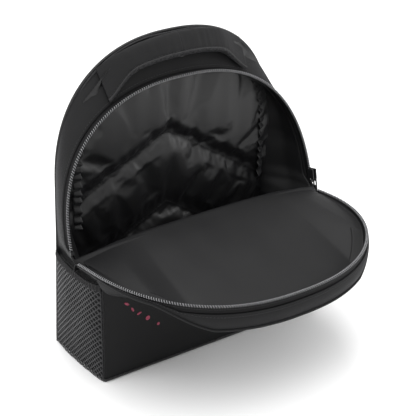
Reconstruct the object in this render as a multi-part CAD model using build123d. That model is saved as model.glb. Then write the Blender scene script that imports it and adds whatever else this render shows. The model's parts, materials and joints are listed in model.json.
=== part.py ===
from build123d import *
import os
from math import asin, cos, degrees, hypot, radians, sin, tan

# Arch-topped day backpack, opened: the front flap hangs forward on its fold and the mouth is free.
# Frame: millimetres, origin at the centre of the base, +Z up, -Y to the front, +X to the right
# as seen from the front.

# ---- driving dimensions ----
base_width = 318.0            # bottom of the bag, side to side
base_depth = 111.0            # bottom of the bag, front to back
bag_height = 376.0            # floor to the crown of the back panel
fabric = 2.0                  # doubled outer fabric with its backing
lining = 1.0                  # lining cloth
lining_gap = 0.5              # air between an outer panel and its lining
seam_gap = 0.3                # room between two sewn pieces

upper_height = 222.0          # zip ends, about which the flap folds, to the crown of the back panel
zip_setback = 36.0            # zip line behind the front panel
mouth_flare = 20.5            # the mouth at the zip ends stands this far outside the base, each side
crown_drop = 38.8             # crown of the zip below the crown of the back panel
mouth_straight = 30.0         # straight run of the zip before it curves
mouth_lean = 13.0             # the zip plane leans back, degrees
arch_power = 2.35             # fullness of both arches: 2 would be an ellipse
rear_taper = 3.0              # back panel at the hinge height, narrower than the base, each side
rear_straight = 62.0          # straight run of the back panel above the hinge height

flap_depth = 32.0             # zip line to the outside of the flap panel
gore_slope = 32.2             # the fold seam falls forward from the zip ends, degrees
gore_gap = 0.9                # room on each side of the fold seam
flap_clear = 3.0              # flap panel's rear edge to the front panel
tape_width = 7.3              # visible zip tape
tooth_width = 2.6             # coil across the zip plane's outline
tooth_depth = 2.5             # coil along the zip plane's normal
zip_gap = 0.6                 # coil to the zip plane
zip_end = 10.0                # the chain starts this far from the fold line

front_fold_drop = 13.3        # the front panel starts to lean in this far under the fold's corner
front_fold_in = 22.0          # its top edge leans in by this much
front_fold_rise = 40.0        # and stands this much higher

foam_thickness = 6.6          # back panel foam
board_thickness = 2.0         # stiffener in the base
binding_width = 9.0           # bound seam inside the back
binding_depth = 2.2

pocket_drop = 7.3             # mesh pocket's top edge, under the fold's corner
pocket_gap = 9.0              # room in the pocket at its mouth
pocket_foot = 3.0             # room in the pocket at its foot
pocket_wall = 1.5
pocket_inset = 2.5            # pocket ends, in from the bag's front and back
pocket_flare = 3.0            # the side wall leans out by this much up to the fold corner
hem_height = 9.0
hem_wall = 3.2
elastic_height = 5.0
elastic_thickness = 1.2

handle_half_span = 96.0       # haul handle, from its middle to a sewn end
handle_lift = 6.5             # room for fingers under it
handle_back = 5.0             # it is shifted this far up the slope of the crown
handle_front = 24.0           # its free edge, outside the mouth's outline
handle_foam = 5.0
handle_skin = 1.2
handle_drop = 58.0            # its ends reach this far under the crown of the back panel

strap_top_x = 42.0            # shoulder strap, upper anchor
strap_top_drop = 38.0         # under the crown of the back panel
strap_foot_in = 34.0          # lower anchor, in from the side
strap_foot_z = 26.0
strap_bow = 55.0              # how far the strap stands off the line through its anchors
strap_standoff = 7.0          # that line, behind the back panel
pad_width = 60.0
pad_foam = 8.0
pad_skin = 1.6
pad_start = 44.0              # along the strap, from the upper anchor
pad_foot = 103.0              # end of the pad, along the strap from the lower anchor
web_width = 25.0
web_thickness = 1.8
web_end = 9.0                 # webbing stops this far from an anchor
buckle_length = 30.0
buckle_width = 34.0
buckle_thickness = 4.6
buckle_bar = 4.0
tail_foot = 10.0              # end of the webbing's free tail, over the floor
anchor_tab = 34.0
yoke_width = 150.0
yoke_height = 44.0

slider_length = 13.0
slider_depth = 11.0
slider_wall = 1.2
slider_room = 0.5             # air round the coil inside the slider
slider_post = 0.9
post_length = 3.0
bridge_length = 9.0
bridge_width = 2.4
bridge_rise = 2.6
pull_bar = 0.9
pull_reach = 8.0              # arms of the pull, from its bar to its tab
pull_length = 22.0
pull_width = 6.4
pull_thickness = 1.3
stop_length = 4.0

# ---- worked out from them ----
front_y = -base_depth / 2
rear_y = base_depth / 2
hinge_y = front_y + zip_setback
half_base = base_width / 2
hinge_height = bag_height - upper_height
slope = tan(radians(gore_slope))
gore_front = hinge_height - zip_setback * slope        # the fold's corner on the front panel
mouth_half_width = half_base + mouth_flare
mouth_length = (bag_height - crown_drop - hinge_height) / cos(radians(mouth_lean))
rear_half_width = half_base - rear_taper
front_fold_height = gore_front - front_fold_drop
pocket_top = gore_front - pocket_drop
strap_foot_x = half_base - strap_foot_in
strap_top_z = bag_height - strap_top_drop
inner_front = front_y + fabric + seam_gap
inner_rear = rear_y - fabric - seam_gap
board_low = fabric + seam_gap
base_lining_low = board_low + board_thickness + seam_gap
inside_low = base_lining_low + lining + seam_gap
lining_rear = rear_y - fabric - foam_thickness - lining - 4 * seam_gap
inside_inset = fabric + lining_gap + lining + seam_gap
mouth_plane = Plane(origin=(0, hinge_y, hinge_height), x_dir=(1, 0, 0),
                    z_dir=(0, -cos(radians(mouth_lean)), sin(radians(mouth_lean))))
flap_plane = Plane(origin=(0, hinge_y, hinge_height), x_dir=(-1, 0, 0), z_dir=(0, 0, 1))
rear_plane = Plane(origin=(0, inner_rear, hinge_height), x_dir=(1, 0, 0), z_dir=(0, -1, 0))
slider_at_rest = zip_end + slider_length / 2 + 1
gusset_front = mouth_plane.offset(-(zip_gap + tooth_depth + tape_width + 2 * seam_gap))


def save(name, shape):
    """Writes one node."""
    shape.label = name
    export_step(shape, f"parts/{name}.step")


def slab(plane, outline, start, end):
    """A face drawn in a plane, made solid between two distances along the plane's normal."""
    low = min(start, end)
    return extrude(plane.offset(low) * outline, abs(end - start), dir=plane.z_dir)


def arch(half_width, straight, length, start=0.0, inset=0.0):
    """Closed arch outline in X and Y, with two upright sides and a full rounded crown."""
    w = half_width - inset
    top = length - inset
    rise = top - straight
    steps = 8
    left = []
    for i in range(steps + 1):
        turn = i / steps * radians(90)
        left.append((-w * cos(turn) ** (2 / arch_power), straight + rise * sin(turn) ** (2 / arch_power)))
    right = [(-x, y) for x, y in reversed(left[:-1])]
    crown = Spline(*left, *right, tangents=[(0, 1), (0, -1)])
    sides = Polyline((w, straight), (w, start), (-w, start), (-w, straight))
    return make_face(crown + sides)


def mouth_arch(start=0.0, inset=0.0):
    """The zip's outline in its own plane."""
    return arch(mouth_half_width, mouth_straight, mouth_length, start, inset)


def rear_arch(start=0.0, inset=0.0):
    """The back panel's outline above the hinge height."""
    return arch(rear_half_width, rear_straight, bag_height - hinge_height, start, inset)


def ring(plane, start, end, inner, outer, foot):
    """A band that follows the mouth: between two insets, and two distances along the normal."""
    return slab(plane, mouth_arch(foot, outer), start, end) - slab(plane, mouth_arch(foot - 1, inner), start, end)


def block(x0, x1, y0, y1, z0, z1):
    """A box between two corners."""
    return Pos((x0 + x1) / 2, (y0 + y1) / 2, (z0 + z1) / 2) * Box(x1 - x0, y1 - y0, z1 - z0)


def profile_yz(points, half_width):
    """A section drawn in Y and Z, made solid across the bag."""
    face = Plane(origin=(0, 0, 0), x_dir=(0, 1, 0), z_dir=(1, 0, 0)) * make_face(Polyline(*points, close=True))
    return extrude(face, half_width, dir=(1, 0, 0), both=True)


def profile_xz(points, y0, y1):
    """A section drawn in X and Z, made solid between two distances to the back."""
    face = Plane(origin=(0, y0, 0), x_dir=(1, 0, 0), z_dir=(0, -1, 0)) * make_face(Polyline(*points, close=True))
    return extrude(face, y1 - y0, dir=(0, 1, 0))


def mirrored(shape):
    """The same piece on the other side of the bag."""
    return mirror(shape, about=Plane.YZ)


def gore_cut(shift):
    """Everything under the fold seam, which runs from the zip ends down to the front."""
    reach = 4 * base_depth
    fall = reach * slope
    points = [(hinge_y + reach, hinge_height + fall + shift), (hinge_y - reach, hinge_height - fall + shift),
              (hinge_y - reach, -reach), (hinge_y + reach, -reach)]
    return profile_yz(points, 2 * base_width)


# ---- body of the bag ----
def upper_space(inset, start=0.0):
    """The space inside the bag's upper half, from the zip's inner edge to the back panel."""
    return loft([gusset_front * mouth_arch(start, inset), rear_plane * rear_arch(start, inset)])


def below(height):
    """Everything up to a height."""
    return block(-2 * base_width, 2 * base_width, -base_depth, base_depth, 0, height)


def rear_gusset():
    """Side and top of the bag behind the zip, one band from the mouth to the back panel."""
    return upper_space(0) - upper_space(fabric, -1) - below(hinge_height + seam_gap)


def rear_gusset_lining():
    """Lining of the band."""
    out = fabric + lining_gap
    band = upper_space(out) - upper_space(out + lining, -1) - below(hinge_height + seam_gap)
    return band - block(-base_width, base_width, lining_rear, base_depth, 0, 2 * bag_height)


def side_sheet(out, wall):
    """Lower side wall on the right: upright to the fold corner, then flared out to the zip end."""
    low, high = (board_low if out == 0 else inside_low), hinge_height
    x_low = half_base - out
    x_mid = half_base + pocket_flare - out
    back = inner_rear if out == 0 else lining_rear
    upright = profile_xz([(x_low - wall, low), (x_low, low), (x_mid, gore_front), (x_mid - wall, gore_front)],
                         inner_front, back)
    x_zip, x_rear = mouth_half_width - out, rear_half_width - out
    foot = Polyline((x_mid, back), (x_mid, hinge_y), (x_mid, inner_front), (x_mid - wall, inner_front),
                    (x_mid - wall, hinge_y), (x_mid - wall, back), close=True)
    head = Polyline((x_rear, back), (x_zip, hinge_y), (x_mid, inner_front), (x_mid - wall, inner_front),
                    (x_zip - wall, hinge_y), (x_rear - wall, back), close=True)
    flare = loft([Pos(0, 0, gore_front) * make_face(foot), Pos(0, 0, high) * make_face(head)], ruled=True)
    return (upright + flare) & gore_cut(-gore_gap)


def front_section(out, wall):
    """Front panel in section: upright, then leaning in towards the fold."""
    y0, y1 = front_y + out, front_y + out + wall
    top = front_fold_height + front_fold_rise
    lean = hypot(front_fold_in, front_fold_rise)
    side = wall * front_fold_rise / lean
    drop = wall * front_fold_in / lean
    low = board_low if out == 0 else inside_low
    return [(y0, low), (y0, front_fold_height), (y0 + front_fold_in, top),
            (y0 + front_fold_in + side, top - drop), (y1, front_fold_height), (y1, low)]


def back_outline(inset):
    """Whole back panel: square foot, upright sides, arched crown."""
    upper = Pos(0, hinge_height) * rear_arch(-1, inset)
    lower = make_face(Polyline((-half_base + inset, inset), (half_base - inset, inset),
                               (rear_half_width - inset, hinge_height),
                               (-rear_half_width + inset, hinge_height), close=True))
    return upper + lower


def back_layer(start, end, inset, low):
    """One layer of the back, between two distances in from its outside."""
    plane = Plane(origin=(0, rear_y, 0), x_dir=(1, 0, 0), z_dir=(0, -1, 0))
    layer = slab(plane, back_outline(inset), start, end)
    return layer & block(-base_width, base_width, 0, base_depth, low, 2 * bag_height)


def inside_layer(start, end, inset, low):
    """One layer of the back that lies inside the gusset."""
    lower = back_layer(start, end, inset, low) & below(hinge_height)
    upper = upper_space(inset, -1) & back_layer(start, end, inset - 1, hinge_height - 0.5)
    return lower + upper


def back_binding():
    """Bound seam allowance that stands along the inside of the back's edge."""
    start = rear_y - lining_rear + seam_gap
    end = start + binding_depth
    band = inside_layer(start, end, inside_inset + 2 * seam_gap, hinge_height / 2)
    return band - inside_layer(start - 1, end + 1, inside_inset + binding_width, 0)


def pocket(side_low, side_high, wall):
    """Side pocket on the right: a mesh sheet with closed ends and foot, open on top."""
    foot = board_low
    grow = (side_high - side_low) / pocket_top

    def side_x(z):
        return half_base + pocket_flare * z / gore_front + seam_gap

    def out_x(z):
        return side_x(z) + side_low + grow * z

    y0, y1 = front_y + pocket_inset, rear_y - pocket_inset
    outer = profile_xz([(side_x(foot), foot), (out_x(foot) + wall, foot), (out_x(pocket_top) + wall, pocket_top),
                        (side_x(pocket_top), pocket_top)], y0, y1)
    inner = profile_xz([(side_x(foot) - wall, foot + wall), (out_x(foot), foot + wall),
                        (out_x(pocket_top + 1), pocket_top + 1), (side_x(pocket_top) - wall, pocket_top + 1)],
                       y0 + wall, y1 - wall)
    return outer - inner


def pocket_rim(low, height, inset, wall, ends):
    """A band round the pocket's mouth, on three sides."""
    side = half_base + pocket_flare * (low + height) / gore_front + seam_gap
    out = side + pocket_gap + pocket_wall
    y0, y1 = front_y + pocket_inset, rear_y - pocket_inset
    outer = block(side, out - inset, y0 + ends, y1 - ends, low, low + height)
    return outer - block(side - 1, out - inset - wall, y0 + ends + wall, y1 - ends - wall, low - 1, low + height + 1)


# ---- flap ----
def flap_floor(rise, thickness, inset):
    """Flap panel or its lining: flat, with a rear edge that climbs along the fold seam."""
    reach = mouth_length + zip_setback
    low = hinge_height - flap_depth + rise
    lift = 2 * gore_gap + rise / cos(radians(gore_slope))
    corner = thickness * (1 - cos(radians(gore_slope))) / sin(radians(gore_slope))
    turn_y = hinge_y - (hinge_height + lift - low) / slope
    edge_y = front_y - flap_clear
    climb = (edge_y - turn_y) * slope
    points = [(hinge_y - reach, low), (turn_y, low), (edge_y, low + climb),
              (edge_y, low + climb + thickness / cos(radians(gore_slope))),
              (turn_y - corner, low + thickness), (hinge_y - reach, low + thickness)]
    sheet = profile_yz(points, mouth_half_width)
    return sheet & slab(flap_plane, mouth_arch(0, inset), -2 * flap_depth, flap_depth)


def flap_band(low, high, outer, inner):
    """A band of the flap between two depths under the zip plane, trimmed on the fold seam."""
    lift = 2 * gore_gap + (fabric + lining_gap + lining + seam_gap) / cos(radians(gore_slope))
    return ring(flap_plane, -low, -high, inner, outer, zip_end) - gore_cut(lift)


# ---- zip hardware ----
def slider_at(along):
    """Slider on the right end of the chain: two plates, a post between them and a bridge outside."""
    inner_x = mouth_half_width - tooth_width - slider_room
    outer_x = mouth_half_width + slider_room
    plates = Pos(inner_x - slider_wall / 2, 0, 0) * Box(slider_wall, slider_length, slider_depth)
    plates += Pos(outer_x + slider_wall / 2, 0, 0) * Box(slider_wall, slider_length, slider_depth)
    post = Pos((inner_x + outer_x) / 2, (slider_length - post_length) / 2, 0) * Box(
        outer_x - inner_x + slider_wall, post_length, slider_post)
    top = outer_x + slider_wall
    bridge = Pos(top + bridge_rise / 2, 0, 0) * Box(bridge_rise, bridge_length, bridge_width)
    bridge -= Pos(top + (bridge_rise - slider_wall) / 2, 0, 0) * Box(bridge_rise - slider_wall,
                                                                  bridge_length - 2 * slider_wall,
                                                                  2 * bridge_width)
    return mouth_plane * (Pos(0, along, 0) * (plates + post + bridge))


def pull_hinge():
    """The middle of the slider's bridge, about which the pull swings, in the zip plane's frame."""
    return (mouth_half_width + slider_room + slider_wall + (bridge_rise - slider_wall) / 2, slider_at_rest, 0)


def zip_pull():
    """Pull: a bar under the bridge, an arm on each side of it, and a tab with a window."""
    arm_out = bridge_width / 2 + slider_room + pull_bar
    pull = Box(pull_bar, pull_bar, 2 * arm_out)
    for side in (-1, 1):
        pull += Pos(0, -pull_reach / 2, side * (arm_out - pull_bar / 2)) * Box(pull_bar, pull_reach, pull_bar)
    tab = Pos(0, -pull_reach - pull_length / 2 + pull_bar, 0) * Box(pull_thickness, pull_length, pull_width)
    tab -= Pos(0, -pull_reach - pull_length / 4, 0) * Box(2 * pull_thickness, pull_length / 4, pull_width / 2)
    return mouth_plane * (Pos(*pull_hinge()) * (pull + tab))


# ---- straps ----
strap_line = Vector(strap_foot_x - strap_top_x, 0, strap_foot_z - strap_top_z)
strap_chord = strap_line.length
strap_axis_y = rear_y + strap_standoff
strap_radius = (strap_chord ** 2 / 4 + strap_bow ** 2) / (2 * strap_bow)
strap_half_turn = asin(strap_chord / 2 / strap_radius)
strap_length = 2 * strap_half_turn * strap_radius
pad_end = strap_length - pad_foot
strap_across = strap_line.normalized().cross(Vector(0, 1, 0))
strap_plane = Plane(origin=(strap_top_x, strap_axis_y, strap_top_z), x_dir=strap_line.normalized(),
                    z_dir=strap_across)


def strap_point(along, lift):
    """A point of the strap's plane: distance along the strap, and height over its middle line."""
    turn = along / strap_radius - strap_half_turn
    r = strap_radius + lift
    return (strap_chord / 2 + r * sin(turn), strap_bow - strap_radius + r * cos(turn))


def strap_layer(start, end, low, high, width):
    """A curved layer of the strap between two stations and two heights."""
    middle = (start + end) / 2
    outline = ThreePointArc(strap_point(start, high), strap_point(middle, high), strap_point(end, high))
    outline += Line(strap_point(end, high), strap_point(end, low))
    outline += ThreePointArc(strap_point(end, low), strap_point(middle, low), strap_point(start, low))
    outline += Line(strap_point(start, low), strap_point(start, high))
    face = make_face(outline)
    return slab(strap_plane, face, -width / 2, width / 2)


def strap_buckle(start):
    """Three-bar buckle at the end of the pad, lying along the strap."""
    middle = start + buckle_length / 2
    at = strap_point(middle, 0)
    turn = degrees(middle / strap_radius - strap_half_turn)
    frame = Box(buckle_length, buckle_thickness, buckle_width)
    frame = fillet(frame.edges().filter_by(Axis.Y), 3.0)
    slot = (buckle_length - 3 * buckle_bar) / 2
    for side in (-1, 1):
        frame -= Pos(side * (slot + buckle_bar) / 2, 0, 0) * Box(slot, 2 * buckle_thickness,
                                                               buckle_width - 2 * buckle_bar)
    lip = Pos(buckle_length / 2 + 2.0, buckle_thickness / 2 - 0.8, 0) * Box(5.0, 1.6, buckle_width * 0.6)
    return strap_plane * (Pos(at[0], at[1], 0) * (Rot(0, 0, -turn) * (frame + lip)))


def strap_pieces():
    """The pieces of the right shoulder strap, by name."""
    half = pad_foam / 2
    buckle_start = pad_end + 6
    web = web_thickness / 2
    strap_end = buckle_start + buckle_bar + seam_gap
    return {
        "strap_cover": strap_layer(pad_start, pad_end, half + seam_gap, half + seam_gap + pad_skin, pad_width),
        "strap_foam": strap_layer(pad_start + 1, pad_end - 1, -half, half, pad_width - 4),
        "strap_mesh": strap_layer(pad_start, pad_end, -half - seam_gap - pad_skin, -half - seam_gap, pad_width),
        "strap_head": strap_layer(web_end, pad_start - seam_gap, -web, web, web_width),
        "strap_loop": strap_layer(pad_end + seam_gap, buckle_start - seam_gap, -web, web, web_width),
        "strap_buckle": strap_buckle(buckle_start),
        "strap_webbing": strap_layer(strap_end + buckle_length, strap_length - web_end, -web, web, web_width),
    }


def tail_top():
    """Where the free end of the webbing leaves the buckle, in the bag's frame."""
    return strap_plane.from_local_coords(Vector(*strap_point(pad_end + 6 + buckle_length / 2,
                                                             buckle_thickness / 2 + web_thickness + 2.2), 0))


def strap_tail():
    """Free end of the webbing, hanging straight down behind the buckle."""
    top = tail_top()
    return Pos(top.X, top.Y, (top.Z + tail_foot) / 2) * Box(web_width, web_thickness, top.Z - tail_foot)


# ---- haul handle ----
def handle_layer(low, high, inset):
    """A layer of the haul handle, which follows the crown of the bag at a distance from it."""
    front = gusset_front.from_local_coords(Vector(0, mouth_length, 0))
    rear = Vector(0, inner_rear, bag_height)
    along = (rear - front).normalized()
    out = Vector(0, -along.Z, along.Y)
    up = along * handle_back
    layer = Pos(*(out * high + up)) * upper_space(0) - Pos(*(out * low + up)) * upper_space(0)
    half = handle_half_span - inset
    layer &= block(-half, half, 0, base_depth, bag_height - handle_drop, 2 * bag_height)
    return layer - slab(mouth_plane, mouth_arch(0, -handle_front - inset), -2 * base_depth, base_depth)


def build():
    """Builds and writes every node."""
    os.makedirs("parts", exist_ok=True)
    parts = {}
    parts["base_panel"] = block(-half_base, half_base, front_y, rear_y, 0, fabric)
    inner_half = half_base - inside_inset
    parts["base_board"] = block(-inner_half, inner_half, inner_front, lining_rear, board_low,
                                board_low + board_thickness)
    parts["base_lining"] = block(-inner_half, inner_half, inner_front, lining_rear, base_lining_low,
                                 base_lining_low + lining)
    parts["rear_gusset"] = rear_gusset()
    parts["rear_gusset_lining"] = rear_gusset_lining()
    side = side_sheet(0, fabric)
    side_lining = side_sheet(fabric + lining_gap, lining)
    parts["side_panel_right"] = side
    parts["side_panel_left"] = mirrored(side)
    parts["side_lining_right"] = side_lining
    parts["side_lining_left"] = mirrored(side_lining)
    parts["front_panel"] = profile_yz(front_section(0, fabric), half_base - fabric - seam_gap)
    parts["front_lining"] = profile_yz(front_section(fabric + lining_gap, lining), inner_half)
    parts["back_panel"] = back_layer(0, fabric, 0, board_low)
    start = fabric + seam_gap
    parts["back_foam"] = inside_layer(start, start + foam_thickness, inside_inset + 2, inside_low)
    start += foam_thickness + seam_gap
    parts["back_lining"] = inside_layer(start, start + lining, inside_inset, inside_low)
    parts["back_binding"] = back_binding()

    first = zip_gap
    parts["body_zip_coil"] = ring(mouth_plane, -first, -first - tooth_depth, tooth_width, 0, zip_end)
    first += tooth_depth + seam_gap
    parts["body_zip_tape"] = ring(mouth_plane, -first, -first - tape_width, fabric, 0.4, zip_end)

    mesh = pocket(pocket_foot, pocket_gap, pocket_wall)
    hem = pocket_rim(pocket_top + seam_gap, hem_height, 0, hem_wall, 0)
    inner = (hem_wall - elastic_thickness) / 2
    elastic = pocket_rim(pocket_top + seam_gap + (hem_height - elastic_height) / 2, elastic_height, inner,
                         elastic_thickness, inner)
    hem -= pocket_rim(pocket_top + seam_gap + (hem_height - elastic_height) / 2 - 0.2, elastic_height + 0.4,
                      inner - 0.2, elastic_thickness + 0.4, inner - 0.2)
    for name, shape in (("pocket_mesh", mesh), ("pocket_hem", hem), ("pocket_elastic", elastic)):
        parts[f"{name}_right"] = shape
        parts[f"{name}_left"] = mirrored(shape)

    low = flap_depth
    parts["flap_panel"] = flap_floor(0, fabric, 0)
    parts["flap_lining"] = flap_floor(fabric + lining_gap, lining, inside_inset)
    first = zip_gap
    parts["flap_zip_coil"] = flap_band(first, first + tooth_depth, 0, tooth_width)
    first += tooth_depth + seam_gap
    parts["flap_zip_tape"] = flap_band(first, first + tape_width, 0.4, fabric)
    first += tape_width + seam_gap
    parts["flap_gusset"] = flap_band(first, low - fabric - seam_gap, 0, fabric)
    parts["flap_gusset_lining"] = flap_band(first, low - fabric - seam_gap, fabric + lining_gap,
                                            fabric + lining_gap + lining)

    parts["zip_slider"] = slider_at(slider_at_rest)
    parts["zip_pull"] = zip_pull()
    stop = Box(tooth_width + 1.6, stop_length, tooth_depth + 0.6)
    stop_in = -zip_gap - tooth_depth / 2 - 0.15
    stops = [mouth_plane * (Pos(s * (mouth_half_width - tooth_width / 2), zip_end - stop_length / 2 - seam_gap,
                                stop_in) * stop) for s in (-1, 1)]
    parts["zip_stops"] = Compound(children=stops)

    for name, shape in strap_pieces().items():
        parts[f"{name}_right"] = shape
        parts[f"{name}_left"] = mirrored(shape)
    tail = strap_tail()
    parts["strap_tail_right"] = tail
    parts["strap_tail_left"] = mirrored(tail)

    first = handle_lift
    parts["handle_mesh"] = handle_layer(first, first + handle_skin, 0)
    first += handle_skin + seam_gap
    parts["handle_foam"] = handle_layer(first, first + handle_foam, 2)
    first += handle_foam + seam_gap
    parts["handle_cover"] = handle_layer(first, first + handle_skin, 0)

    parts["strap_yoke"] = block(-yoke_width / 2, yoke_width / 2, rear_y + seam_gap, rear_y + seam_gap + 1.6,
                                strap_top_z - yoke_height / 2, strap_top_z + yoke_height / 2)
    tab = profile_xz([(strap_foot_x + anchor_tab / 2, strap_foot_z - anchor_tab / 2),
                      (strap_foot_x + anchor_tab / 2, strap_foot_z + anchor_tab / 2),
                      (strap_foot_x - anchor_tab / 2, strap_foot_z + anchor_tab / 4),
                      (strap_foot_x - anchor_tab / 2, strap_foot_z - anchor_tab / 4)],
                     rear_y + seam_gap, rear_y + seam_gap + 1.8)
    parts["strap_anchor_right"] = tab
    parts["strap_anchor_left"] = mirrored(tab)

    for name, shape in parts.items():
        save(name, shape)
    top = tail_top()
    print("strap line", strap_top_x, strap_axis_y, strap_top_z, strap_line.normalized())
    print("tail hinge", top.X, top.Y, top.Z)
    print("pull hinge", mouth_plane.from_local_coords(Vector(*pull_hinge())))
    print(len(parts), "nodes")


build()
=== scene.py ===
"""Arch-topped day backpack, standing open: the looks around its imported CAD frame.

Every sub-assembly is a class that builds its own cloth, padding and trim. Sheets start as a bmesh
grid that is laid on the bag's curved outlines, then folded, quilted, pleated or simulated.
"""

import json
import logging
import math
from dataclasses import dataclass, field
from enum import Enum
from typing import Callable, ClassVar

import bmesh
import bpy
import numpy as np
from mathutils import Matrix, Vector, noise

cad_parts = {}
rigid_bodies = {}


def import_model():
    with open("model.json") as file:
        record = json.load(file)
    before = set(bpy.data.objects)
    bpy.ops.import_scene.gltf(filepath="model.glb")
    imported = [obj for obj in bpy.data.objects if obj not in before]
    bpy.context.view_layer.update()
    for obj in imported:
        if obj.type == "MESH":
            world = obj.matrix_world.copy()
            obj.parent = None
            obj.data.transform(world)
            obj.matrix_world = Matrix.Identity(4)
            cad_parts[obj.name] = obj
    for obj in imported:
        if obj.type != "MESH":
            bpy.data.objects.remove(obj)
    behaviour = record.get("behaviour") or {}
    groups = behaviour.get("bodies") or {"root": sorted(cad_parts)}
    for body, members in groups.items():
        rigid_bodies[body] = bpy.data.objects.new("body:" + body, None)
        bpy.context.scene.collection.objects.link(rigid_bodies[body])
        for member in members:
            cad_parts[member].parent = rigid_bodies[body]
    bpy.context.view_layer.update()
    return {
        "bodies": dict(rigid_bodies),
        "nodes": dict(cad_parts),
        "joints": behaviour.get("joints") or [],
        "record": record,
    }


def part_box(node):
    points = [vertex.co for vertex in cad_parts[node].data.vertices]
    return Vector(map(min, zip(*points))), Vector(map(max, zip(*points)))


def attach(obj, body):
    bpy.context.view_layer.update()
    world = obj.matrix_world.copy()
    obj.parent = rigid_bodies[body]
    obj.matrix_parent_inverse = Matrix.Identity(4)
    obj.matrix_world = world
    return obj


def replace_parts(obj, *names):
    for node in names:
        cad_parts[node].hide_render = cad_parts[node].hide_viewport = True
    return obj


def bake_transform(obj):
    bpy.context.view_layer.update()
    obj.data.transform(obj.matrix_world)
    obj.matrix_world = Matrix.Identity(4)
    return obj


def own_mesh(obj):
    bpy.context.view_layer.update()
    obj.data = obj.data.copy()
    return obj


LOG = logging.getLogger("backpack")
MM = 0.001
Place = Callable[[float, float], Vector]


# ---------------------------------------------------------------- finishes
class Weave(Enum):
    """How the surface of a finish is made."""

    OXFORD = "oxford"
    SATIN = "satin"
    AIR_MESH = "air_mesh"
    WEBBING = "webbing"
    MOULDED = "moulded"
    NET = "net"


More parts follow.
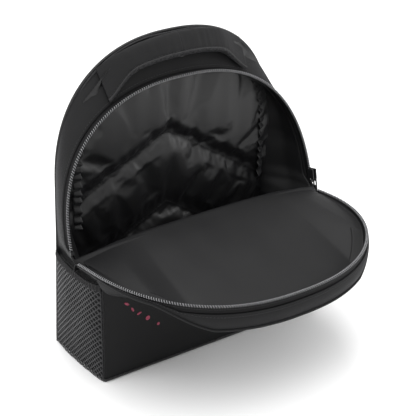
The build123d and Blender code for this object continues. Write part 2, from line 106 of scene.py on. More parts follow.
@dataclass(frozen=True)
class Finish:
    """One material: colour, gloss and the fine relief of its surface.

    Attributes:
        name: the Blender material's name.
        slot: the record's material slot.
        weave: the kind of relief.
        color: base colour, linear.
        roughness: mean roughness.
        sheen: sheen weight of the fibres.
        pitch: thread or rib spacing in metres.
        relief: bump distance in metres.
        spread: how much roughness and colour drift over the cloth.
        specular: specular level of the shader.
        metallic: metal share.
    """

    name: str
    slot: str
    weave: Weave
    color: tuple[float, float, float]
    roughness: float
    sheen: float = 0.0
    pitch: float = 1.1 * MM
    relief: float = 0.12 * MM
    spread: float = 0.08
    specular: float = 0.5
    metallic: float = 0.0

    DRIFT_SCALE: ClassVar[float] = 38.0
    # share of painted shade: how far the relief's low parts darken the base colour
    RELIEF_SHADE: ClassVar[float] = 0.55
    WAVE_SPACING: ClassVar[float] = 0.314
    SHEEN_ROUGHNESS: ClassVar[float] = 0.45

    def material(self) -> bpy.types.Material:
        """Returns the material, made on first use."""
        made = bpy.data.materials.get(self.name)
        return made if made else self._build()

    def _build(self) -> bpy.types.Material:
        """Makes the node tree."""
        mat = bpy.data.materials.new(self.name)
        mat.use_nodes = True
        tree = mat.node_tree
        shader = tree.nodes["Principled BSDF"]
        shader.inputs["Metallic"].default_value = self.metallic
        shader.inputs["Specular IOR Level"].default_value = self.specular
        shader.inputs["Sheen Weight"].default_value = self.sheen
        shader.inputs["Sheen Roughness"].default_value = self.SHEEN_ROUGHNESS
        shader.inputs["Sheen Tint"].default_value = (0.9, 0.9, 1.0, 1.0)
        coord = tree.nodes.new("ShaderNodeTexCoord")
        drift = tree.nodes.new("ShaderNodeTexNoise")
        drift.inputs["Scale"].default_value = self.DRIFT_SCALE
        drift.inputs["Detail"].default_value = 4.0
        tree.links.new(coord.outputs["Object"], drift.inputs["Vector"])
        tint = tree.nodes.new("ShaderNodeMix")
        tint.data_type = "RGBA"
        low, high = (1 - 1.6 * self.spread), (1 + 2.2 * self.spread)
        tint.inputs["A"].default_value = (*[c * low for c in self.color], 1)
        tint.inputs["B"].default_value = (*[c * high for c in self.color], 1)
        tree.links.new(drift.outputs["Fac"], tint.inputs["Factor"])
        gloss = tree.nodes.new("ShaderNodeMapRange")
        gloss.inputs["To Min"].default_value = self.roughness * (1 - self.spread)
        gloss.inputs["To Max"].default_value = min(1.0, self.roughness * (1 + self.spread))
        tree.links.new(drift.outputs["Fac"], gloss.inputs["Value"])
        tree.links.new(gloss.outputs["Result"], shader.inputs["Roughness"])
        height = self._height(tree, coord)
        if height is None:
            tree.links.new(tint.outputs["Result"], shader.inputs["Base Color"])
            return mat
        # painted shade: the base colour is multiplied by the relief's height, so the low parts of the weave,
        # ribs or cells are painted darker
        shade = tree.nodes.new("ShaderNodeMix")
        shade.data_type = "RGBA"
        shade.blend_type = "MULTIPLY"
        shade.inputs["Factor"].default_value = self.RELIEF_SHADE
        tree.links.new(tint.outputs["Result"], shade.inputs["A"])
        tree.links.new(height, shade.inputs["B"])
        tree.links.new(shade.outputs["Result"], shader.inputs["Base Color"])
        bump = tree.nodes.new("ShaderNodeBump")
        bump.inputs["Distance"].default_value = self.relief
        bump.inputs["Strength"].default_value = 1.0
        tree.links.new(height, bump.inputs["Height"])
        tree.links.new(bump.outputs["Normal"], shader.inputs["Normal"])
        return mat

    def _wave(self, tree: bpy.types.NodeTree, uv: bpy.types.NodeSocket, axis: str,
              pitch: float) -> bpy.types.NodeSocket:
        """Sine bands along one axis of the cloth's own map.

        Args:
            tree: the material's nodes.
            uv: the map, in metres.
            axis: "X" or "Y".
            pitch: band spacing in metres.

        Returns:
            The height socket.
        """
        wave = tree.nodes.new("ShaderNodeTexWave")
        wave.bands_direction = axis
        wave.inputs["Scale"].default_value = self.WAVE_SPACING / pitch
        wave.inputs["Distortion"].default_value = 0.4
        wave.inputs["Detail"].default_value = 0.0
        tree.links.new(uv, wave.inputs["Vector"])
        return wave.outputs["Fac"]

    def _combine(self, tree: bpy.types.NodeTree, kind: str, a: bpy.types.NodeSocket,
                 b: bpy.types.NodeSocket) -> bpy.types.NodeSocket:
        """A math node of two heights.

        Args:
            tree: the material's nodes.
            kind: the node's operation.
            a: first height socket.
            b: second height socket.

        Returns:
            The height socket.
        """
        node = tree.nodes.new("ShaderNodeMath")
        node.operation = kind
        tree.links.new(a, node.inputs[0])
        tree.links.new(b, node.inputs[1])
        return node.outputs[0]

    def _height(self, tree: bpy.types.NodeTree, coord: bpy.types.Node) -> bpy.types.NodeSocket | None:
        """The relief of this weave, or None where the finish is smooth."""
        uv = coord.outputs["UV"]
        if self.weave is Weave.OXFORD:
            warp = self._wave(tree, uv, "X", self.pitch)
            weft = self._wave(tree, uv, "Y", self.pitch)
            return self._combine(tree, "MAXIMUM", warp, weft)
        if self.weave is Weave.WEBBING:
            rib = self._wave(tree, uv, "X", self.pitch)
            thread = self._wave(tree, uv, "Y", self.pitch * 0.6)
            return self._combine(tree, "MULTIPLY", rib, thread)
        if self.weave is Weave.SATIN:
            return self._wave(tree, uv, "X", self.pitch)
        cells = tree.nodes.new("ShaderNodeTexVoronoi")
        cells.inputs["Scale"].default_value = 1.0 / self.pitch
        tree.links.new(uv if self.weave is Weave.AIR_MESH else coord.outputs["Object"],
                       cells.inputs["Vector"])
        return cells.outputs["Distance"]


OXFORD = Finish("black_oxford", "oxford", Weave.OXFORD, (0.0050, 0.0050, 0.0055), 0.70, 0.02, specular=0.25)
PANEL = Finish("front_satin", "satin_panel", Weave.SATIN, (0.0050, 0.0050, 0.0055), 0.60, 0.01,
               specular=0.2, pitch=0.6 * MM, relief=0.03 * MM, spread=0.03)
LINING = Finish("satin_lining", "lining", Weave.SATIN, (0.0040, 0.0040, 0.0045), 0.55, 0.01, specular=0.22,
                pitch=0.5 * MM, relief=0.02 * MM, spread=0.05)
QUILT = Finish("quilted_satin", "lining", Weave.SATIN, (0.0050, 0.0050, 0.0055), 0.42, 0.02, specular=0.5,
               pitch=0.5 * MM, relief=0.02 * MM, spread=0.05)
AIR_MESH = Finish("spacer_mesh", "air_mesh", Weave.AIR_MESH, (0.018, 0.018, 0.019), 0.8, 0.06, specular=0.3,
                  pitch=3.0 * MM, relief=0.8 * MM)
NET = Finish("stretch_net", "pocket_net", Weave.NET, (0.014, 0.014, 0.015), 0.5, 0.05, specular=0.3,
             pitch=0.5 * MM, relief=0.05 * MM)
TAPE = Finish("woven_tape", "zip_tape", Weave.WEBBING, (0.005, 0.005, 0.0055), 0.70, 0.01, specular=0.2,
              pitch=1.2 * MM, relief=0.10 * MM)
COIL = Finish("nylon_coil", "zip_coil", Weave.MOULDED, (0.26, 0.26, 0.27), 0.30, specular=0.6,
              pitch=0.8 * MM, relief=0.02 * MM)
METAL = Finish("black_alloy", "zip_metal", Weave.MOULDED, (0.010, 0.010, 0.011), 0.42, specular=0.45,
               pitch=0.7 * MM, relief=0.02 * MM)
WEBBING = Finish("strap_weave", "webbing", Weave.WEBBING, (0.007, 0.007, 0.0075), 0.66, 0.05,
                 pitch=1.6 * MM, relief=0.25 * MM)
PLASTIC = Finish("buckle_plastic", "buckle", Weave.MOULDED, (0.012, 0.012, 0.013), 0.42,
                 pitch=0.5 * MM, relief=0.015 * MM)
BINDING = Finish("binding_tape", "binding", Weave.WEBBING, (0.008, 0.008, 0.0085), 0.6, 0.05,
                 pitch=1.1 * MM, relief=0.12 * MM)
THREAD = Finish("thread", "oxford", Weave.WEBBING, (0.012, 0.012, 0.013), 0.55, 0.05,
                pitch=0.4 * MM, relief=0.03 * MM)
PINK = Finish("pink_print", "satin_panel", Weave.SATIN, (0.55, 0.055, 0.13), 0.5,
              pitch=0.5 * MM, relief=0.02 * MM, spread=0.04)


# ---------------------------------------------------------------- mesh helpers
def ease(low: float, high: float, value: float) -> float:
    """Smooth step.

    Args:
        low: where it is 0.
        high: where it is 1; it may be under low.
        value: what is looked up.

    Returns:
        A share from 0 to 1.
    """
    t = min(1.0, max(0.0, (value - low) / (high - low)))
    return t * t * (3 - 2 * t)


def ripple(point: Vector, scale: Vector, amount: float, seed: float = 0.0) -> float:
    """Soft cloth unevenness at a point.

    Args:
        point: where, in metres.
        scale: cycles per metre along each axis.
        amount: half height of the unevenness.
        seed: shifts the pattern.

    Returns:
        A signed distance in metres.
    """
    at = Vector((point.x * scale.x + seed, point.y * scale.y, point.z * scale.z))
    return amount * noise.noise(at)


def link(name: str, bm: bmesh.types.BMesh, finish: Finish, smooth: bool = True) -> bpy.types.Object:
    """Writes a bmesh into a new object with one finish.

    Args:
        name: the piece's name.
        bm: the mesh, freed here.
        finish: its material.
        smooth: smooth shading.

    Returns:
        The new object at the origin.
    """
    mesh = bpy.data.meshes.new(name)
    bm.to_mesh(mesh)
    bm.free()
    mesh.polygons.foreach_set("use_smooth", [smooth] * len(mesh.polygons))
    obj = bpy.data.objects.new(name, mesh)
    bpy.context.scene.collection.objects.link(obj)
    mesh.materials.append(finish.material())
    return obj


def laid_grid(place: Place, rows: int, columns: int, size: tuple[float, float],
              close: bool = False) -> bmesh.types.BMesh:
    """A grid laid on a surface, with a map in metres.

    Args:
        place: gives the point for two shares from 0 to 1.
        rows: faces along the first share.
        columns: faces along the second share.
        size: the cloth's length along each share, for its map.
        close: whether the second share comes back to its start.

    Returns:
        The mesh.
    """
    bm = bmesh.new()
    bmesh.ops.create_grid(bm, x_segments=rows, y_segments=columns, size=0.5)
    uv = bm.loops.layers.uv.new("UVMap")
    for face in bm.faces:
        for loop in face.loops:
            u, v = loop.vert.co.x + 0.5, loop.vert.co.y + 0.5
            loop[uv].uv = (u * size[0], v * size[1])
    for vert in bm.verts:
        vert.co = place(vert.co.x + 0.5, vert.co.y + 0.5)
    if close:
        bmesh.ops.remove_doubles(bm, verts=bm.verts, dist=0.02 * MM)
    bm.normal_update()
    return bm


def face_away(bm: bmesh.types.BMesh, centre: Vector) -> bmesh.types.BMesh:
    """Turns an open sheet so that its faces point away from a place inside the bag."""
    total = sum((f.normal.dot(f.calc_center_median() - centre) * f.calc_area() for f in bm.faces), 0.0)
    if total < 0:
        bmesh.ops.reverse_faces(bm, faces=bm.faces)
    return bm


def facing(bm: bmesh.types.BMesh, way: tuple[float, float, float]) -> bmesh.types.BMesh:
    """Turns an open sheet so that its faces mostly look one way.

    Args:
        bm: the sheet.
        way: the direction, in the shared frame.

    Returns:
        The same mesh.
    """
    bm.normal_update()
    if sum(f.normal.dot(Vector(way)) for f in bm.faces) < 0:
        bmesh.ops.reverse_faces(bm, faces=bm.faces)
    return bm


def squared(value: float, power: float) -> float:
    """A sine or cosine drawn out towards a square's, so that a round section gets flatter sides.

    Args:
        value: the sine or cosine.
        power: 1 keeps it round, smaller is squarer.

    Returns:
        The value with its sign kept.
    """
    return math.copysign(abs(value) ** power, value)


def thick(obj: bpy.types.Object, wall: float, offset: float = -1.0) -> bpy.types.Object:
    """Gives a sheet its thickness, inwards by default.

    Args:
        obj: the sheet.
        wall: its thickness.
        offset: -1 grows behind the faces, 0 to both sides.

    Returns:
        The same object.
    """
    mod = obj.modifiers.new("wall", "SOLIDIFY")
    mod.thickness = wall
    mod.offset = offset
    mod.use_even_offset = False
    return obj


def outward(bm: bmesh.types.BMesh) -> bmesh.types.BMesh:
    """Points the faces of a closed piece outwards."""
    bm.normal_update()
    bmesh.ops.recalc_face_normals(bm, faces=bm.faces)
    return bm


def tube_along(name: str, points: list[Vector], radius: float, finish: Finish,
               closed: bool = False, sides: int = 1) -> bpy.types.Object:
    """A round cord, piping or coil made a mesh.

    Args:
        name: the piece's name.
        points: its line.
        radius: its radius.
        finish: its material.
        closed: whether the line is a loop.
        sides: bevel resolution.

    Returns:
        The object.
    """
    data = bpy.data.curves.new(name, "CURVE")
    data.dimensions = "3D"
    data.bevel_depth = radius
    data.bevel_resolution = sides
    data.use_fill_caps = True
    spline = data.splines.new("POLY")
    spline.points.add(len(points) - 1)
    spline.points.foreach_set("co", [c for p in points for c in (*p, 1.0)])
    spline.use_cyclic_u = closed
    holder = bpy.data.objects.new(name + "_line", data)
    mesh = bpy.data.meshes.new_from_object(holder)
    bpy.data.objects.remove(holder)
    bm = bmesh.new()
    bm.from_mesh(mesh)
    bpy.data.meshes.remove(mesh)
    return link(name, outward(bm), finish)


def stitches(name: str, points: list[Vector], finish: Finish = THREAD, length: float = 2.6 * MM,
             pitch: float = 4.0 * MM, radius: float = 0.35 * MM) -> bpy.types.Object:
    """A row of separate stitches along a line.

    Args:
        name: the piece's name.
        points: the line, close together.
        finish: thread finish.
        length: one stitch.
        pitch: start of one stitch to the next.
        radius: thread radius.

    Returns:
        The object.
    """
    line = np.array([tuple(p) for p in points])
    along = np.concatenate([[0.0], np.cumsum(np.linalg.norm(np.diff(line, axis=0), axis=1))])
    bm = bmesh.new()
    for start in np.arange(pitch / 2, along[-1] - length, pitch):
        ends = [Vector([np.interp(start + d, along, line[:, k]) for k in range(3)]) for d in (0.0, length)]
        run = ends[1] - ends[0]
        if run.length < radius:
            continue
        turn = run.to_track_quat("Z", "Y").to_matrix().to_4x4()
        made = bmesh.ops.create_icosphere(bm, subdivisions=1, radius=1.0)
        scale = Matrix.Diagonal((radius, radius, run.length / 2, 1.0))
        bmesh.ops.transform(bm, matrix=Matrix.Translation((ends[0] + ends[1]) / 2) @ turn @ scale,
                            verts=made["verts"])
    return link(name, bm, finish)


# ---------------------------------------------------------------- the bag's outlines
class Outline:
    """An arch with straight sides and a full crown, walked by length from the left foot to the right."""

    POINTS = 240

    def __init__(self, half: float, straight: float, top: float, power: float) -> None:
        """Lays out the arch.

        Args:
            half: half its width at the foot.
            straight: height of its straight sides.
            top: height of its crown.
            power: fullness; 2 is an ellipse.
        """
        turn = np.linspace(0, math.pi / 2, self.POINTS)
        x = -half * np.cos(turn) ** (2 / power)
        s = straight + (top - straight) * np.sin(turn) ** (2 / power)
        x[-1] = 0.0
        left = np.column_stack([np.append(-half, x), np.append(0.0, s)])
        self.line = np.vstack([left, left[-2::-1] * [-1, 1]])
        step = np.linalg.norm(np.diff(self.line, axis=0), axis=1)
        self.along = np.concatenate([[0.0], np.cumsum(step)])
        self.length = float(self.along[-1])
        self.half, self.top = half, top

    def at(self, t: float) -> Vector:
        """The point at a share of the length, as x and height."""
        want = min(1.0, max(0.0, t)) * self.length
        return Vector((float(np.interp(want, self.along, self.line[:, 0])),
                       float(np.interp(want, self.along, self.line[:, 1]))))

    def out(self, t: float) -> Vector:
        """The outward direction in the arch's plane."""
        run = self.at(t + 0.004) - self.at(t - 0.004)
        return Vector((-run.y, run.x)).normalized()

    def width_at(self, height: float) -> float:
        """Half width at a height."""
        rising = self.line[: len(self.line) // 2 + 1]
        return float(np.interp(height, rising[:, 1], -rising[:, 0]))


@dataclass
class BagShape:
    """The bag's main lines, read from the frame, in metres."""

    frame: dict
    power: float = 2.35
    rim_straight: float = 30 * MM
    rim_foot: float = 10 * MM
    rim_drop: float = 6.5 * MM
    body_bow: float = 4.0 * MM
    rear_straight: float = 62 * MM
    rim_bow: float = 7.0 * MM
    flap_grow: float = 8.0 * MM
    tape_line: float = 11.0 * MM
    wall: float = 2.0 * MM
    swell: float = 3.0 * MM
    flare: float = 3 * MM
    crease_drop: float = 11 * MM
    hinge: Vector = field(init=False)
    rise: Vector = field(init=False)
    back: Vector = field(init=False)
    half_base: float = field(init=False)
    front_y: float = field(init=False)
    rear_y: float = field(init=False)
    crown_z: float = field(init=False)
    fold_z: float = field(init=False)
    flap_low: float = field(init=False)
    close_keep: float = field(init=False)

    def __post_init__(self) -> None:
        """Reads the frame."""
        joints = {j["name"]: j for j in self.frame["joints"]}
        self.hinge = Vector(joints["flap_fold"]["pos_m"])
        self.rise = Vector(joints["zip_travel"]["axis"]).normalized()
        self.back = Vector((0, self.rise.z, -self.rise.y))
        base_low, base_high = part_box("base_panel")
        self.half_base, self.front_y, self.rear_y = base_high.x, base_low.y, base_high.y
        self.crown_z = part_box("back_panel")[1].z
        self.fold_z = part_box("pocket_hem_left")[0].z + 7.0 * MM
        self.flap_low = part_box("flap_panel")[0].z
        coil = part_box("body_zip_coil")[1]
        length = (coil.z - self.hinge.z) / self.rise.z
        self.rim = Outline(coil.x, self.rim_foot, length - self.rim_drop, self.power)
        self.flap = Outline(coil.x, self.rim_straight, length + self.flap_grow, self.power)
        self.rear = Outline(self.half_base - self.flare, self.rear_straight, self.crown_z - self.hinge.z,
                            self.power)
        self.close_keep = self.rim.top / self.flap.top

    def _bow(self, share: float, most: float) -> float:
        """How far a rim bows between its foot and its crown."""
        return 4 * most * share * (1 - share)

    def body_rim(self, t: float, out: float = 0.0, back: float = 0.0) -> Vector:
        """A point by the body's half of the zip.

        Args:
            t: share of the way round the mouth from the left.
            out: distance outside the outline.
            back: distance behind the mouth's face.

        Returns:
            The point, in the shared frame.
        """
        p = self.rim.at(t) + self.rim.out(t) * out
        deep = back + self._bow(self.rim.at(t).y / self.rim.top, self.body_bow)
        return self.hinge + Vector((p.x, 0, 0)) + self.rise * p.y + self.back * deep

    def flap_rim(self, t: float, out: float = 0.0, down: float = 0.0) -> Vector:
        """A point by the flap's half of the zip.

        Args:
            t: share of the way round from the left.
            out: distance outside the outline.
            down: distance under the rim.

        Returns:
            The point, in the shared frame.
        """
        p = self.flap.at(t) + self.flap.out(t) * out
        up = self._bow(self.flap.at(t).y / self.flap.top, self.rim_bow)
        return self.hinge + Vector((p.x, -p.y, up - down))

    def rear_edge(self, t: float, out: float = 0.0) -> Vector:
        """A point of the back panel's outline above the zip ends."""
        p = self.rear.at(t) + self.rear.out(t) * out
        return Vector((p.x, self.rear_y, self.hinge.z + p.y))

    def front_edge_low(self, z: float) -> Vector:
        """The front edge of the right side wall at a height under the zip end."""
        share = max(0.0, (z - self.fold_z) / (self.hinge.z - self.fold_z))
        x = self.half_base + self.flare * min(1.0, z / self.fold_z)
        x += (self.rim.half - x) * share
        return Vector((x, self.front_y + (self.hinge.y - self.front_y) * share, z))

    def side(self, t: float, v: float, inset: float = 0.0, swell: float | None = None) -> Vector:
        """The outer skin of the bag's side and top, one strip from floor to floor.

        Args:
            t: under 0 on the left wall, 0 to 1 round the mouth, over 1 on the right wall; the floor is at
                -1 and 2.
            v: 0 at the zip or front edge, 1 at the back panel.
            inset: distance inside the skin.
            swell: how much the middle stands out.

        Returns:
            The point, in the shared frame.
        """
        swell = self.swell if swell is None else swell
        bulge = swell * 4 * v * (1 - v) - inset
        if 0 <= t <= 1:
            start = self.body_rim(t, bulge, self.tape_line * ease(0, 0.03, min(t, 1 - t)))
            end = self.rear_edge(t, bulge)
            return start.lerp(end, v)
        z = self.hinge.z * (1 + t if t < 0 else 2 - t)
        sign = -1 if t < 0 else 1
        front = self.front_edge_low(z)
        rear_x = self.half_base - self.flare * z / self.hinge.z
        rear = Vector((rear_x, self.rear_y, z))
        p = front.lerp(rear, v)
        return Vector((sign * (p.x + bulge * ease(0, 30 * MM, z)), p.y, p.z))


def strip_share(u: float, low: float = 0.18) -> float:
    """Spreads a strip's rows: some for each lower wall, the rest round the mouth."""
    if u < low:
        return u / low - 1
    if u > 1 - low:
        return 1 + (u - 1 + low) / low
    return (u - low) / (1 - 2 * low)


# ---------------------------------------------------------------- cloth
def settle(obj: bpy.types.Object, pins: list[int], swell: float, force: float, frames: int = 22,
           cap: float = 7 * MM, bend: float = 0.6) -> None:
    """Lets a pinned sheet with spare cloth find its folds, and keeps the result.

    Args:
        obj: the sheet.
        pins: vertices sewn in place.
        swell: share of spare cloth.
        force: pressure along the sheet's normals.
        frames: steps of the simulation.
        cap: the furthest that a point may move, in metres.
        bend: bending stiffness.
    """
    group = obj.vertex_groups.new(name="sewn")
    group.add(pins, 1.0, "REPLACE")
    mod = obj.modifiers.new("cloth", "CLOTH")
    cloth = mod.settings
    cloth.quality = 5
    cloth.mass = 0.15
    cloth.tension_stiffness = 12
    cloth.compression_stiffness = 12
    cloth.shear_stiffness = 4
    cloth.bending_stiffness = bend
    cloth.vertex_group_mass = "sewn"
    cloth.shrink_min = -swell
    cloth.use_pressure = True
    cloth.uniform_pressure_force = force
    cloth.effector_weights.gravity = 0.0
    mod.collision_settings.use_collision = False
    mod.point_cache.frame_start = 1
    mod.point_cache.frame_end = frames
    rest = [v.co.copy() for v in obj.data.vertices]
    for frame in range(1, frames + 1):
        bpy.context.scene.frame_set(frame)
    shown = obj.evaluated_get(bpy.context.evaluated_depsgraph_get())
    moved = [v.co.copy() for v in shown.data.vertices]
    obj.modifiers.remove(mod)
    obj.vertex_groups.remove(group)
    for vert, start, end in zip(obj.data.vertices, rest, moved):
        step = end - start
        if step.length > cap:
            step *= cap / step.length
        vert.co = start + step
    bpy.context.scene.frame_set(1)
    obj.data.update()


# ---------------------------------------------------------------- body of the bag
@dataclass
class Shell:
    """Outer cloth and linings of the bag itself."""

    shape: BagShape
    lining_in: float = 3.4 * MM
    lean: float = 13 * MM
    seam_lip: float = 1.1 * MM
    crest_y: float = -33 * MM
    crest_rise: float = 15.5 * MM
    crease_at: float = 0.7
    lumbar: tuple[float, float, float] = (52 * MM, 0.62, 0.27)

    def build(self) -> None:
        """Makes every piece of the shell."""
        self.side_and_top()
        self.side_lining()
        self.base()
        self.front_panel()
        self.front_lining()
        self.back_panel()

    def side_and_top(self) -> None:
        """The oxford strip of side wall, top gusset and side wall, with its sewn front edge."""
        shape = self.shape

        def place(u: float, v: float) -> Vector:
            """A point of the strip, with soft folds."""
            t = strip_share(u)
            lip = self.seam_lip * (1 - ease(0.0, 0.05, v)) * ease(0.0, 0.01, v)
            p = shape.side(t, v, -lip)
            fold = ripple(p, Vector((16, 30, 16)), 1.3 * MM) + ripple(p, Vector((42, 60, 42)), 0.5 * MM, 7)
            away = Vector((p.x, 0, max(0.0, p.z - 0.15))).normalized()
            return p + away * fold * 4 * v * (1 - v)

        bm = face_away(laid_grid(place, 330, 24, (0.86, 0.075)), Vector((0, 0, 0.16)))
        skin = thick(link("bag_side_and_top", bm, OXFORD), shape.wall)
        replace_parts(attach(skin, "body"), "rear_gusset", "side_panel_left", "side_panel_right")
        for name, v in (("front", 0.07), ("rear", 0.94)):
            line = [place(u, v) + self._off(place(u, v)) for u in np.linspace(0.19, 0.81, 400)]
            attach(stitches(f"gusset_stitches_{name}", line), "body")
        rear = [place(u, 0.995) for u in np.linspace(0.0, 1.0, 400)]
        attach(tube_along("back_piping", rear, 1.9 * MM, BINDING, sides=2), "body")

    def _off(self, p: Vector) -> Vector:
        """A hair's breadth outwards at a point of the strip."""
        return Vector((p.x, 0, max(0.0, p.z - 0.2))).normalized() * 0.25 * MM

    def side_lining(self) -> None:
        """The satin inside of the strip, with loose folds that run from the zip to the back."""
        shape = self.shape

        def place(u: float, v: float) -> Vector:
            """A point of the lining strip."""
            t = strip_share(u)
            deep = self.lining_in + 1.0 * MM
            depth = 0.02 + 0.90 * v
            p = shape.side(t, depth, deep, swell=1.0 * MM)
            loose = 0.3 + 0.7 * noise.noise(Vector((t * 3.1, 4.0, 0)))
            wave = math.sin(t * 61 + 3.0 * noise.noise(Vector((t * 9, v * 1.5, 2.0))))
            inward = Vector((-p.x, 0, min(0.0, 0.17 - p.z))).normalized()
            fold = 1.6 * MM * abs(loose) * (1 + wave) + ripple(p, Vector((30, 18, 30)), 1.2 * MM, 3)
            loose_fold = max(0.0, fold) * math.sin(math.pi * min(1.0, v * 1.02))
            p = p + inward * (loose_fold + self.lean * ease(0.4, 1.0, v))
            p.z = max(p.z, 6.5 * MM)
            return p

        bm = face_away(laid_grid(place, 330, 22, (0.84, 0.07)), Vector((0, 0, 0.16)))
        bmesh.ops.reverse_faces(bm, faces=bm.faces)
        skin = thick(link("side_lining", bm, LINING), 0.5 * MM)
        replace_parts(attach(skin, "body"), "rear_gusset_lining", "side_lining_left", "side_lining_right")

    def _slab(self, name: str, low: Vector, high: Vector, finish: Finish,
              round_by: float) -> bpy.types.Object:
        """A sewn flat panel: a slab with softened edges.

        Args:
            name: the piece's name.
            low: lowest corner.
            high: highest corner.
            finish: its cloth.
            round_by: radius of its upright edges.

        Returns:
            The object.
        """
        bm = bmesh.new()
        bmesh.ops.create_cube(bm, size=1.0)
        size = high - low
        bmesh.ops.scale(bm, vec=size, verts=bm.verts)
        bmesh.ops.translate(bm, vec=(low + high) / 2, verts=bm.verts)
        upright = [e for e in bm.edges if abs((e.verts[0].co - e.verts[1].co).z) > size.z / 2]
        bmesh.ops.bevel(bm, geom=upright, offset=round_by, affect="EDGES", segments=4, profile=0.5,
                        material=-1)
        flat = [e for e in bm.edges if abs((e.verts[0].co - e.verts[1].co).z) < size.z / 4]
        bmesh.ops.bevel(bm, geom=flat, offset=0.45 * size.z, affect="EDGES", segments=3, profile=0.5,
                        material=-1)
        uv = bm.loops.layers.uv.new("UVMap")
        for face in bm.faces:
            for loop in face.loops:
                loop[uv].uv = (loop.vert.co.x, loop.vert.co.y + loop.vert.co.z)
        return link(name, bm, finish)

    def base(self) -> None:
        """The bottom: outer panel with a welted edge, and the lining, which also stands in for the board."""
        low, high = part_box("base_panel")
        panel = self._slab("base_cloth", low, high, OXFORD, 3 * MM)
        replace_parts(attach(panel, "body"), "base_panel")
        low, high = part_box("base_lining")
        floor = self._slab("base_lining_cloth", low, high + Vector((0, 0, 1.5 * MM)), LINING, 2 * MM)
        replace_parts(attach(floor, "body"), "base_lining", "base_board")
        z, inset = 3.0 * MM, 0.8 * MM
        x, y0, y1 = self.shape.half_base + inset, self.shape.front_y - inset, self.shape.rear_y + inset
        corner = 4 * MM
        line = []
        for cx, cy, start in ((x, y1, 0), (-x, y1, 90), (-x, y0, 180), (x, y0, 270)):
            inner = Vector((cx - math.copysign(corner, cx), cy - math.copysign(corner, cy), z))
            for k in range(5):
                turn = math.radians(start + k * 22.5)
                line.append(inner + corner * Vector((math.cos(turn), math.sin(turn), 0)))
        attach(tube_along("base_piping", line, 1.5 * MM, BINDING, closed=True, sides=2), "body")

    def front_line(self, across: float, w: float, inset: float) -> Vector:
        """A point of the front panel.

        Args:
            across: -1 at the left seam, 1 at the right.
            w: 0 at the floor, 0.7 at the crease, 1 on top of the fold.
            inset: distance behind the outside.

        Returns:
            The point, in the shared frame.
        """
        shape = self.shape
        edge = abs(across) ** 5
        crease = (shape.fold_z - shape.crease_drop) * (1 - edge) + shape.fold_z * edge
        low = inset + 1.2 * MM
        if w <= self.crease_at:
            z = low + (crease - low) * w / self.crease_at
            y = shape.front_y + inset
            half = shape.half_base + shape.flare * z / shape.fold_z - inset
            pillow = 2.4 * MM * (1 - across ** 4) * math.sin(math.pi * min(1.0, z / shape.fold_z)) ** 0.6
            return Vector((across * half, y - pillow, z))
        lift = (w - self.crease_at) / 0.3
        half = shape.half_base + shape.flare
        half = half + (shape.rim.half - shape.half_base - shape.flare) * lift - inset
        top_y = (self.crest_y + inset) * (1 - edge) + (shape.hinge.y + inset) * edge
        top_z = shape.hinge.z + (self.crest_rise - inset) * (1 - edge)
        y = shape.front_y + inset + (top_y - shape.front_y - inset) * lift
        z = crease + (top_z - crease) * math.sin(lift * math.pi / 2) ** (1.0 - 0.15 * (1 - edge))
        return Vector((across * half, y, z))

    def front_panel(self) -> None:
        """The smooth front, which folds in under the flap."""
        def place(u: float, v: float) -> Vector:
            """A point of the front with faint drag lines."""
            p = self.front_line(2 * u - 1, v, 0.0)
            inner = 1 - abs(2 * u - 1) ** 6
            fold = ripple(p, Vector((9, 1, 14)), 1.0 * MM, 11) + ripple(p, Vector((24, 1, 9)), 0.5 * MM, 5)
            return p + Vector((0, fold * inner * ease(0, 0.1, v), 0))

        bm = face_away(laid_grid(place, 120, 70, (0.33, 0.19)), Vector((0, 0.02, 0.1)))
        panel = thick(link("front_cloth", bm, PANEL), self.shape.wall)
        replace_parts(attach(panel, "body"), "front_panel")
        self._fold_flat(panel)
        for side, across in (("left", -1.0), ("right", 1.0)):
            seam = [self.front_line(across, w, 0.4 * MM) for w in np.linspace(0.03, 0.7, 60)]
            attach(tube_along(f"front_seam_{side}", seam, 1.3 * MM, PANEL, sides=2), "body")
        self._print(place)

    def _fold_flat(self, obj: bpy.types.Object) -> None:
        """Gives the piece its own copy of its mesh."""
        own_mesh(obj)

    def _print(self, place: Place) -> None:
        """A small row of plain printed marks under the flap."""
        bm = bmesh.new()
        spots = ((-130, 99, 3.8, 1.5, -35), (-122, 89, 3.4, 1.4, -62), (-113, 81, 3.2, 1.4, 18),
                 (-101, 71, 3.0, 3.0, 0), (-86, 58, 1.9, 1.9, 0))
        for x, z, half, high, turn in spots:
            made = bmesh.ops.create_circle(bm, cap_ends=True, segments=28, radius=1.0)["verts"]
            size = Matrix.Diagonal((half * MM, high * MM, 1, 1))
            stand = Matrix.Rotation(math.radians(90), 4, "X") @ Matrix.Rotation(math.radians(turn), 4, "Z")
            bmesh.ops.transform(bm, matrix=Matrix.Translation((x * MM, 0, z * MM)) @ stand @ size, verts=made)
        bmesh.ops.triangulate(bm, faces=bm.faces)
        bmesh.ops.subdivide_edges(bm, edges=bm.edges, cuts=2, use_grid_fill=True)
        width = self.shape.half_base + self.shape.flare
        for vert in bm.verts:
            u = (vert.co.x / width + 1) / 2
            crease = self.shape.fold_z - self.shape.crease_drop
            skin = place(u, self.crease_at * (vert.co.z - 1.2 * MM) / (crease - 1.2 * MM))
            vert.co = Vector((vert.co.x, skin.y - 0.4 * MM, vert.co.z))
        bm.normal_update()
        for face in bm.faces:
            if face.normal.y > 0:
                face.normal_flip()
        marks = thick(link("front_print", bm, PINK), 0.15 * MM)
        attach(marks, "body")
        self._fold_flat(marks)

    def front_lining(self) -> None:
        """The inside of the front wall, up to the fold."""
        def place(u: float, v: float) -> Vector:
            """A point of the lining with loose folds."""
            p = self.front_line(2 * u - 1, 0.03 + 0.95 * v, 3.6 * MM)
            inner = 1 - abs(2 * u - 1) ** 6
            loose = 1.5 * MM + ripple(p, Vector((26, 1, 8)), 2.0 * MM, 21)
            return p + Vector((0, max(0.0, loose) * inner, 0))

